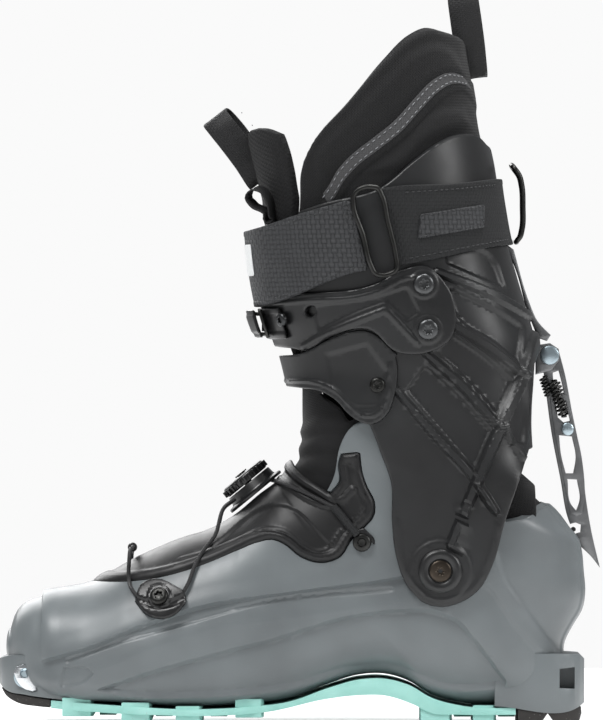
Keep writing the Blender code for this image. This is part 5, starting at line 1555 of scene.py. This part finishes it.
def strap_edge_band(p):
    """The turned and sewn edge of the webbing, 2.4 mm wide."""
    return 2.4 - strap_area(p)


strap_keys = np.arange(leg_key(195), leg_key(265), 0.7)
front_strap = wall("strap_front_webbing", CUFF, strap_keys, 5.9, 1.8, web_coarse, STRAP_OUTLINE,
                   holes=[behind_front_strap], across=quick_across, edge=0.5,
                   relief=[(strap_edge_band, -0.4, 0.4, 0.25)])
place(front_strap, "cuff", "webbing", "strap_front")
rear_strap = wall("strap_rear_webbing", CUFF, strap_keys, 2.4, 1.7, web_fine, STRAP_OUTLINE,
                  holes=[before_rear_strap], across=quick_across, edge=0.5,
                  relief=[(strap_edge_band, -0.4, 0.4, 0.2)])
place(rear_strap, "cuff", "webbing", "strap_rear")
HOOK_PATCH = [(55.5, 231), (87, 236.5), (87.5, 247.5), (56.5, 242.5)]
patch = wall("hook_patch", CUFF, strap_keys, 3.3, 1.0, web_coarse, HOOK_PATCH, sides=(-120, 0), across=260,
             edge=0.4)
place(patch, "cuff", "webbing")
for strap, width in ((front_strap, 0.038), (rear_strap, 0.034)):
    area, (length, _) = flat_size(strap)
    print(strap.name, "flat", width, "x", round(area / width, 3), "m")

# %% [markdown]
# ## Rings
# Two rings of 2.5 mm wire carry the strap: a tall rectangle on the outer side, and a narrow one at the rear.

# %% Build the rings

corners = [(24.6, 248), (24.8, 251.8), (27.4, 254.4), (33.4, 255.4), (36.4, 254.6), (37.9, 252), (41, 239),
           (44.9, 222), (45.3, 218.4), (44.2, 215.6), (41.6, 214.2), (37.8, 213.6), (35.2, 214.4),
           (33.4, 217.4),
           (29.4, 232)]
path = curve_through([CUFF.over(x, z, 6.6) for x, z in corners], 0.9, closed=True, corner=100)
place(sweep("strap_ring_wire", path, round_section(1.3, 16), dark_steel, closed=True), "strap_ring",
      "dark_steel",
      "strap_ring")
rear_points = [(101.6, -8.4, 265.6), (104.4, -8.8, 261.5), (105.5, -8.8, 257), (106, -8.8, 247),
               (105.6, -8.8, 236),
               (104.6, -8.8, 232.4), (103.2, -8.2, 230.6), (103, -5, 230.2), (103, 5, 230.2),
               (103.2, 8.2, 230.6),
               (104.6, 8.8, 232.4), (105.6, 8.8, 236), (106, 8.8, 247), (105.5, 8.8, 257),
               (104.4, 8.8, 261.5),
               (101.6, 8.4, 265.6), (101, 5, 266.4), (101, -5, 266.4)]
path = curve_through(rear_points, 0.9, closed=True, corner=120)
place(sweep("rear_ring_wire", path, round_section(1.25, 16), dark_steel, closed=True), "rear_strap_ring",
      "dark_steel",
      "rear_strap_ring")
print("two wire rings")

# %% [markdown]
# ## The liner
# The liner is a soft boot inside the hard one: a foam sleeve round the leg with a padded collar, a tongue in
# front of it, and a foot part on an insole board. Foam swells between its seams and pulls in at them. The
# cuff and the shell hold the foam to their own shape, and the pads are crowned in the mesh itself. No cloth
# simulation was run on them, for lack of time.

# %% Build the soft sleeve and tongue

COLLAR_OUTLINE = [(5.1, 157)] + arc(*PIVOT, 103.8, 32, 17, 6) + arc(*PIVOT, 84.4, 17, -38, 10) + [
    (130, 139), (130, 288.5), (89.5, 288.5), (88, 307.5), (77, 328), (69.5, 330), (61.5, 331.5), (53, 328),
    (40, 316.5), (21, 295.5), (4, 276.5), (-0.5, 267), (-2, 248), (-2, 180)]
TONGUE_OUTLINE = [(-40, 163), (-1, 163), (-3.5, 180), (-3.5, 248), (-2.4, 262), (-2, 272), (-3, 281),
                  (-10.5, 284), (-17.5, 283.5), (-22.5, 279), (-40, 270)]
BINDING = [(13, 247), (16, 251), (19.5, 257.5), (25.5, 264.5), (37.5, 274), (47, 281.5), (57, 292.5),
           (66.5, 302),
           (72, 305), (79, 304.5), (84, 299), (88.5, 289.5)]
PADS = [
    [(6, 271), (21, 289), (40, 309), (54, 322), (62, 325), (70, 323.5), (80, 309), (66, 307), (50, 292),
     (36, 279),
     (20, 265), (8, 252)],
    [(30, 262), (48, 276), (66, 294), (78, 295), (82, 285), (60, 276), (44, 262)],
]
collar_relief = [(area_field(pad), -0.6, 5.0, 1.6) for pad in PADS]
collar_relief += [(stroke_field(BINDING, 3.0), -0.7, 0.5, 0.7)]
sleeve = wall("liner_sleeve", CUFF, np.concatenate([np.arange(48, 60, 1.4), np.arange(60, 158, 1.0)]), -3.9,
              6.0,
              liner_cloth, COLLAR_OUTLINE, relief=collar_relief, across=150, edge=2.6, inner_edge=2.4)
place(sleeve, "cuff", "liner_fabric", "liner_leg")


def leaned(outer, inner):
    """The tongue's free top leans forward, away from the shin."""
    for face in (outer, inner):
        face[:, 0] -= 0.24 * np.clip(face[:, 2] - 250, 0, 99)
    return outer, inner


tongue = wall("liner_tongue_pad", CUFF, np.arange(leg_key(161), 135, 1.0), -4.5, 4.8, liner_mesh,
              TONGUE_OUTLINE,
              across=190, edge=2.2, inner_edge=2.0, shape=leaned,
              relief=[(area_field([(-40, 238), (-6, 238), (-5, 276), (-12, 279), (-40, 279)]), -0.8, 3.5,
                       0.9)])
place(tongue, "cuff", "liner_fabric", "liner_tongue")
binding = wall("collar_binding", CUFF, np.arange(110, 150, 0.7), -3.0, 0.7, binding_grey,
               curve_through(BINDING, 3).tolist() + [(x - 3.2, z + 5.2) for x,
                                                     z in curve_through(BINDING, 3)[::-1].tolist()],
               sides=(-120, 120), across=220, edge=0.4)
place(binding, "cuff", "liner_fabric")

ankle = arc(*PIVOT, 57.6, -64, 60, 12)
foot_side = [(-130, 25.4), (-60, 20.6), (-20, 23.6), (20, 32.1), (70, 31.6), (130, 30.5)] + ankle + [
    (-8, 90), (-60, 71.5), (-84, 62), (-130, 60)]
foot_liner = wall("liner_foot_sock", SHELL,
                  np.concatenate([np.arange(-121, -30, 2.5), np.arange(-30, 66, 1.6)]), -8.5,
                  3.6, liner_cloth, foot_side, across=110, edge=1.6, inner_edge=1.5)
place(foot_liner, "lower_boot", "liner_fabric", "liner_foot")
ankle_side = [(4, 96), (12, 92), (112, 92), (112, 176), (4, 176)]
ankle_liner = wall("liner_ankle_sock", CUFF, np.arange(40, 118, 1.6), -14.5, 2.4, liner_cloth, ankle_side,
                   across=110,
                   edge=1.1, inner_edge=1.0)
across_ankle(ankle_liner, (40, 0, 118), (40, 0, 160), "liner_fabric")
board_side = [(-118, 19), (-60, 14), (-10, 16.4), (14, 24.4), (40, 28), (56, 24.8), (70, 18.4), (104, 15.6),
              (120, 17.2), (120, 30), (70, 31), (20, 31.5), (-20, 23), (-60, 20), (-118, 23.4)]
bed_side = [(-113, 27.8), (-60, 24.8), (-20, 27.6), (20, 36.2), (70, 35.8), (112, 35.2), (112, 38),
            (70, 38.6),
            (20, 39), (-20, 30.4), (-60, 27.6), (-113, 30.6)]


def last_plan(keys, grow, side):
    """The plan outline of the inside of the boot: its sections in front, and its width just above a
    slab's foot."""
    foot = [point for point in side if point[1] < 36.5 and point[0] > -40]
    foot = foot[:np.argmax([x for x, _ in foot]) + 1]
    sections = [SHELL.section(key, grow) for key in keys]
    xs = [key if key < FAN[0] else None for key in keys]
    spots = [(x, s[8], s[4]) for x, s in zip(xs, sections) if x is not None]
    for x in range(-20, 118, 12):
        z = float(np.interp(x, *zip(*foot))) + 1.5
        spots.append((x, SHELL.section(key_of(x, z), grow)[8], -SHELL.side(x, z, grow)))
    return [(x, y - half) for x, y, half in spots] + [(x, y + half) for x, y, half in spots[::-1]]


for name, side, finish, nodes, inset in (("insole_board", board_side, board_foam, "boot_board", -6.5),
                                         ("footbed_pad", bed_side, board_foam, "footbed", -15)):
    slab = plate(name, [side], -60, 60, finish, 0.01)
    outline = last_plan(np.arange(-112, -30, 12), inset, side)
    trimmed(slab, plate("plan", [outline], 5, 60, finish, 0.01, "xy", step=3), "INTERSECT")
    place(slab, "lower_boot", "board_foam", nodes)
print("liner: sleeve, tongue, foot, board and footbed")

# %% [markdown]
# ## Loops and tab
# Three loops of nylon tape are sewn to the liner and the strap: a big one at the tongue, one at the heel of
# the collar, and a small tab on the strap. Tape keeps its width, so it is a flat section swept along a path.

# %% Build the loops

LOOPS = {
    "tongue_loop": ([(-19.5, -2.5, 259.5), (-26, -6, 269), (-34, -7, 279.6), (-39.4, -6, 286.4),
                     (-41.4, -2, 289.2),
                     (-40, 3, 289.6), (-34, 6.4, 283.6), (-26.4, 6, 273), (-20, 3, 262)],
                    13.4, 1.3, (0.79, -0.1, 0.6), "pull_loop_front"),
    "heel_loop": ([(81.2, -1.6, 309), (80.6, -4, 320), (78.6, -5.4, 335), (77.2, -5, 346),
                   (76.8, -1.8, 352.6),
                   (77, 1.8, 352.6), (77.8, 5, 346), (79.4, 5.4, 335), (81.2, 4, 320), (81.8, 1.6, 309)],
                  14.5, 1.3, (0.97, 0.12, 0.2), "pull_loop_rear"),
    "strap_tab_loop": ([(-16.1, -30, 240), (-16.5, -30, 243.6), (-22.6, -29, 247.4), (-25.0, -28, 251.6),
                        (-22.6, -28, 255), (-18.4, -29, 254.4), (-15.4, -30, 250), (-14, -30, 243),
                        (-13.8, -30, 240)],
                       10, 0.9, (0.3, 0.9, 0.2), "strap_tab"),
}
for name, (route, width, thick, across, node) in LOOPS.items():
    path = curve_through(route, 1.2, closed=True, corner=120)
    across = np.array(across) / np.linalg.norm(across)
    loop = sweep(name, path, tape_section(width, thick), loop_tape, closed=True, across=across)
    place(loop, "cuff", "webbing", node)
print("three loops of tape")

# %% [markdown]
# ## Stitches
# Every sewn edge shows its thread. A seam is a path on the skin with one short stitch, a stretched bead, put
# at even steps along it. Stitches are repeated hundreds of times, so the bead has only twenty faces.

# %% Geometry Nodes: stitches along a path


def stitch_tree():
    tree = bpy.data.node_groups.new("stitches_along_path", "GeometryNodeTree")
    face = tree.interface
    for name, kind in (("Path", "NodeSocketGeometry"), ("Pitch", "NodeSocketFloat"),
                       ("Length", "NodeSocketFloat"),
                       ("Thickness", "NodeSocketFloat"), ("Thread", "NodeSocketMaterial")):
        face.new_socket(name, in_out="INPUT", socket_type=kind)
    face.new_socket("Result", in_out="OUTPUT", socket_type="NodeSocketGeometry")
    given = add(tree, "NodeGroupInput").outputs
    line = add(tree, "GeometryNodeMeshToCurve", {0: given["Path"]})
    steps = add(tree, "GeometryNodeResampleCurve", {"Curve": line.outputs[0], "Length": given["Pitch"]},
                mode="LENGTH")
    tangent = add(tree, "GeometryNodeInputTangent")
    facing = add(tree, "FunctionNodeAlignRotationToVector", {"Vector": tangent.outputs[0]}, axis="X")
    bead = add(tree, "GeometryNodeMeshIcoSphere", {"Radius": 0.5, "Subdivisions": 1})
    size = add(tree, "ShaderNodeCombineXYZ",
               {0: given["Length"], 1: given["Thickness"], 2: given["Thickness"]})
    placed = add(tree, "GeometryNodeInstanceOnPoints", {
        "Points": steps.outputs[0], "Instance": bead.outputs[0], "Rotation": facing.outputs[0],
                                                        "Scale": size.outputs[0]})
    real = add(tree, "GeometryNodeRealizeInstances", {0: placed.outputs[0]})
    painted = add(tree, "GeometryNodeSetMaterial", {0: real.outputs[0], "Material": given["Thread"]})
    add(tree, "NodeGroupOutput", {0: painted.outputs[0]})
    return tree


STITCHES = stitch_tree()


def stitched(name, paths, thread, body, slot, pitch=3.0, length=2.2, thickness=0.55):
    """Stitches along several paths of mm points, as one piece."""
    points, edges = [], []
    for path in paths:
        edges += [(len(points) + i, len(points) + i + 1) for i in range(len(path) - 1)]
        points += [tuple(p) for p in path]
    mesh = bpy.data.meshes.new(name)
    mesh.from_pydata((np.array(points) * MM).tolist(), edges, [])
    holder = bpy.data.objects.new(name, mesh)
    bpy.context.scene.collection.objects.link(holder)
    step = holder.modifiers.new("stitches", "NODES")
    step.node_group = STITCHES
    values = {"Pitch": pitch * MM, "Length": length * MM, "Thickness": thickness * MM, "Thread": thread}
    for item in STITCHES.interface.items_tree:
        if item.item_type == "SOCKET" and item.in_out == "INPUT" and item.name in values:
            step[item.identifier] = values[item.name]
    made = bpy.data.meshes.new_from_object(holder.evaluated_get(bpy.context.evaluated_depsgraph_get()))
    holder.modifiers.remove(step)
    holder.data = made
    bpy.data.meshes.remove(mesh)
    made.shade_smooth()
    if not made.materials:
        made.materials.append(thread)
    place(holder, body, slot)
    print(name, "has", len(made.polygons) // 20, "stitches")
    return holder


def on_side(line, grow, way=-1, skin=CUFF):
    """A side-view line laid on a skin."""
    return [skin.over(x, z, grow, way) for x, z in curve_through(line, 1.5)]


def shifted(line, by_x, by_z):
    return [(x + by_x, z + by_z) for x, z in line]


# %% Sew the seams
both = (-1, 1)
stitched("binding_stitches",
         [on_side(shifted(BINDING[:-2], dx, dz), -2.75, way) for dx, dz in ((-0.6, 1.0), (-2.5, 4.1))
          for way in both], thread_light, "cuff", "liner_fabric", 3.2, 2.3, 0.5)
strap_low = [(-12, 203.4), (0, 207.4), (25.5, 217.6), (30, 218.6)]
strap_high = [(-16, 236.6), (-0.5, 240.6), (20, 246.8)]
rear_low = [(52, 221.8), (98, 231)]
rear_high = [(50, 253), (76, 255), (92, 257)]
stitched("strap_stitches", [on_side(strap_low, 6.1), on_side(strap_high, 6.1), on_side(rear_low, 2.7),
                            on_side(rear_high, 2.7)], thread_dark, "cuff", "webbing", 2.8, 2.0, 0.5)
ring_fold = [[(19, 247), (27.6, 216)], [(21.4, 247.6), (30, 216.8)]]
stitched("ring_fold_stitches", [on_side(line, 6.0) for line in ring_fold], thread_dark, "cuff", "webbing",
         2.4, 1.8, 0.5)
patch_seam = HOOK_PATCH + HOOK_PATCH[:1]
stitched("patch_stitches", [on_side([(x * 0.96 + 2.9, z * 0.9 + 24) for x, z in patch_seam], 3.4)],
         thread_dark, "cuff",
         "webbing", 2.6, 1.8, 0.5)
stitched("tongue_loop_stitches",
         [[(-23.6 - k, y, 286 + 1.2 * k) for y in np.linspace(-5.4, 5.4, 8)] for k in (0, 5)],
         thread_dark, "cuff", "webbing", 1.8, 1.3, 0.45)
tag = wall("strap_label", CUFF, strap_keys, 6.3, 0.4, label_white,
           [(-40, 213), (-14.4, 214), (-16.4, 229), (-40, 228)],
           sides=(-22, -2), across=260, edge=0.15)
place(tag, "cuff", "webbing")

# %% [markdown]
# ## The walk lever
# At the rear a flat aluminium lever hangs from a bracket. Its hook locks the cuff to the heel for skiing and
# swings out for walking. It is a thin stamped plate with lightening windows, and it carries two small coil
# springs. A rail of the same metal runs up the cuff's spine.

# %% Build the rail, bracket and lever

LEVER_OUTLINE = [(114.6, 179.5), (118.5, 181.5), (123, 179), (126.3, 166.5), (129.5, 149.5), (134.3, 125.5),
                 (136.4, 106.5), (139, 91), (143, 74), (138.4, 79.8), (134, 84), (131.2, 86.8), (129.8, 88.8),
                 (131.2, 90.2), (133.6, 91), (133.9, 94.6), (131.4, 95.6), (128.7, 94.9), (127.6, 98),
                 (124.2, 116), (119.6, 140), (117.2, 158)]
LEVER_WINDOWS = [
    [(120.4, 167.4), (123.2, 168.4), (124.6, 163), (125.8, 157), (121, 158.6)],
    [(121.6, 155.2), (126.4, 154.2), (128.6, 144.4), (125.6, 143.6), (122.8, 146)],
    [(123.4, 137.4), (129.6, 136.8), (131.4, 126.8), (130.2, 119.2), (126.6, 119.2), (124.4, 128)],
    [(127.4, 116.4), (132, 116.2), (133.2, 106), (131.6, 101.4), (129.4, 104)],
]
LEVER_PIN = (118.8, 175.8)


def disc(x, z, radius, count=20):
    return [(x + radius * math.cos(2 * math.pi * i / count), z + radius * math.sin(2 * math.pi * i / count))
            for i in range(count)]


handle = plate("lever_plate", [LEVER_OUTLINE, *LEVER_WINDOWS, disc(*LEVER_PIN, 3.3)], -1.5, 1.5,
               lever_aluminium, 0.3)
place(handle, "walk_lever", "lever_aluminium", "walk_lever")
for way in both:
    low, high = sorted((way * 1.5, way * 2.3))
    skin_plate = plate(f"lever_cheek_{'outer' if way < 0 else 'inner'}",
                       [[(118.6, 158.8), (120.4, 160), (127.2, 156.2), (130.6, 143), (134.6, 124.6),
                         (135.6, 108),
                         (134.4, 99.6), (131.4, 98.6), (128.6, 100), (125.4, 117), (121, 140)],
                        *[w for w in LEVER_WINDOWS[1:]]], low, high, lever_aluminium, 0.25)
    place(skin_plate, "walk_lever", "lever_aluminium")
cheek = [(112.2, 166.5), (119.6, 168.4), (123.6, 173.6), (123.2, 178.8), (119, 181.6), (112.2, 180.6)]
bracket = plate("lever_bracket", [cheek, disc(*LEVER_PIN, 3.3)], -5, 5, lever_aluminium, 0.6)
trimmed(bracket, plate("slot", [[(112.9, 160), (130, 160), (130, 190), (112.9, 190)]], -2.1, 2.1,
                       lever_aluminium, 0.01))
place(bracket, "cuff", "lever_aluminium", "lock_bracket")
rail_side = [(97.6, 229.4), (101.6, 226.4), (108.8, 202), (113.2, 192), (119.4, 185.4), (117.6, 182.6),
             (113.4, 184), (110.9, 190), (107.6, 199), (103.8, 213.4)]
rail = plate("spine_rail", [rail_side], -3.6, 3.6, lever_aluminium, 0.6)
place(rail, "cuff", "lever_aluminium", "lock_bar")
rivet_profile = [(3.4, -7.3), (4.4, -6.8), (4.6, -6.1), (4.6, -5.4), (2.9, -5.3), (2.9, 5.3), (4.6, 5.4),
                 (4.6, 6.1),
                 (4.4, 6.8), (3.4, 7.3)]
place(turned("lever_axle", rivet_profile, (LEVER_PIN[0], 0, LEVER_PIN[1]), (0, 1, 0), zinc_steel, 40), "cuff",
      "zinc_steel", "lever_rivet")

# %% Build the springs and their post


def coil(start, end, radius, turns):
    """A helix from start to end."""
    start, end = np.array(start, float), np.array(end, float)
    axis = end - start
    turn_axes = np.array(Vector(axis).to_track_quat("Z", "Y").to_matrix())
    t = np.linspace(0, 1, turns * 14)
    angle = 2 * math.pi * turns * t
    local = np.column_stack([radius * np.cos(angle), radius * np.sin(angle), np.zeros(len(t))])
    return start + t[:, None] * axis + local @ turn_axes.T


springs = {"upper": ((119.8, -4.6, 163.4), (125.4, -4.6, 147.6), 2.2, 9),
           "lower": ((121.6, 4.6, 162.4), (127.2, 4.6, 146.6), 2.2, 9),
           "short": ((115.6, -4.6, 165.4), (118.4, -4.6, 156.6), 1.7, 6)}
for name, (start, end, radius, turns) in springs.items():
    spring = sweep(f"lever_spring_{name}", coil(start, end, radius, turns), round_section(0.55, 8),
                   dark_steel)
    if name == "upper":
        place(spring, "walk_lever", "dark_steel", "lever_spring")
    else:
        place(spring, "walk_lever", "dark_steel")
post = [(2.4, -6.9), (3.0, -6.5), (3.0, -5.9), (1.5, -5.8), (1.5, 5.8), (3.0, 5.9), (3.0, 6.5), (2.4, 6.9)]
place(turned("spring_post", post, (127.3, 0, 140.4), (0, 1, 0), zinc_steel, 32), "walk_lever", "zinc_steel")
for name, spot in (("outer", -1), ("inner", 1)):
    stub = [(1.1, 2.0), (1.1, 4.2), (0.2, 4.25)]
    place(turned("lock_stub_" + name, stub, (130.3, 0, 92.4), (0, spot, 0), dark_steel, 20), "lower_boot",
          "dark_steel", "lock_pin_" + name)
spine = screw_head("spine_head", hard_rubber, radius=2.6, height=1.2, socket=1.1)
place(repeated("spine_screw", spine, [(133.0, 0, 62.4)], [(1, 0, 0)], hard_rubber), "lower_boot", "rubber",
      "heel_spine_screw")
print("walk lever, springs and heel lock built")
# %% [markdown]
# ## Floor, light and camera
# A pale floor and soft studio light, as for a catalogue. Four area lights: a key above and in front on the
# toe side, a second one overhead, a weak one on the heel side to draw the rear edges, and one on the
# far side.
# The world is a low fill for the boot, and a near-white backdrop for the camera only. The camera is level
# with the middle of the boot and far away with a long lens, so upright lines stay upright.

# %% Stage, lights and camera


def area_light(name, at, size, power, look_at=(0, 0, 0.16)):
    lamp = bpy.data.lights.new(name, "AREA")
    lamp.size, lamp.energy = size, power
    made = bpy.data.objects.new(name, lamp)
    made.location = at
    made.rotation_euler = (Vector(look_at) - Vector(at)).to_track_quat("-Z", "Y").to_euler()
    bpy.context.scene.collection.objects.link(made)


floor_mesh = bpy.data.meshes.new("floor")
rim = [(0.9 * math.cos(a), 0.9 * math.sin(a), -0.0005) for a in np.linspace(0, 2 * math.pi, 96,
                                                                            endpoint=False)]
floor_mesh.from_pydata(rim, [], [tuple(range(96))])
floor = bpy.data.objects.new("floor", floor_mesh)
bpy.context.scene.collection.objects.link(floor)
floor_paint, tree, shader, at = finish_of("floor_pale_paper", Roughness=0.9)
tree.links.new(ramp(tree, grain(tree, at, 400), "F2F2F2", "F6F6F6"), shader.inputs["Base Color"])
floor_mesh.materials.append(floor_paint)

FILL_STRENGTH = 0.34  # of the world, as the boot sees it
world = bpy.data.worlds.new("studio")
bpy.context.scene.world = world
world.use_nodes = True
sky = world.node_tree
fill = sky.nodes["Background"]
fill.inputs[0].default_value, fill.inputs[1].default_value = linear("F2F3F5"), FILL_STRENGTH
paper = sky.nodes.new("ShaderNodeBackground")
paper.inputs[0].default_value, paper.inputs[1].default_value = linear("FAFAFA"), 1.0
seen = sky.nodes.new("ShaderNodeLightPath")
either = sky.nodes.new("ShaderNodeMixShader")
sky.links.new(seen.outputs["Is Camera Ray"], either.inputs[0])
sky.links.new(fill.outputs[0], either.inputs[1])
sky.links.new(paper.outputs[0], either.inputs[2])
sky.links.new(either.outputs[0], sky.nodes["World Output"].inputs[0])
area_light("key", (-0.8, -1.0, 1.8), 0.8, 32)
area_light("top", (0.3, 0.1, 1.8), 0.7, 24)
area_light("rear", (1.3, -0.7, 0.8), 0.5, 9)
area_light("far_side", (-0.6, 1.4, 0.9), 1.0, 14)
bpy.context.scene.view_settings.view_transform = "Standard"

VIEW_HEIGHT, DISTANCE, SENSOR_MM = 0.3451, 5.0, 36.0
lens = bpy.data.cameras.new("camera")
lens.sensor_width = SENSOR_MM
lens.lens = SENSOR_MM * DISTANCE / VIEW_HEIGHT
lens.clip_start, lens.clip_end = 0.5, 30
camera = bpy.data.objects.new("camera", lens)
camera.location = (0.0, -DISTANCE, 0.1735)
camera.rotation_euler = (math.radians(90), 0, 0)
bpy.context.scene.collection.objects.link(camera)
bpy.context.scene.camera = camera
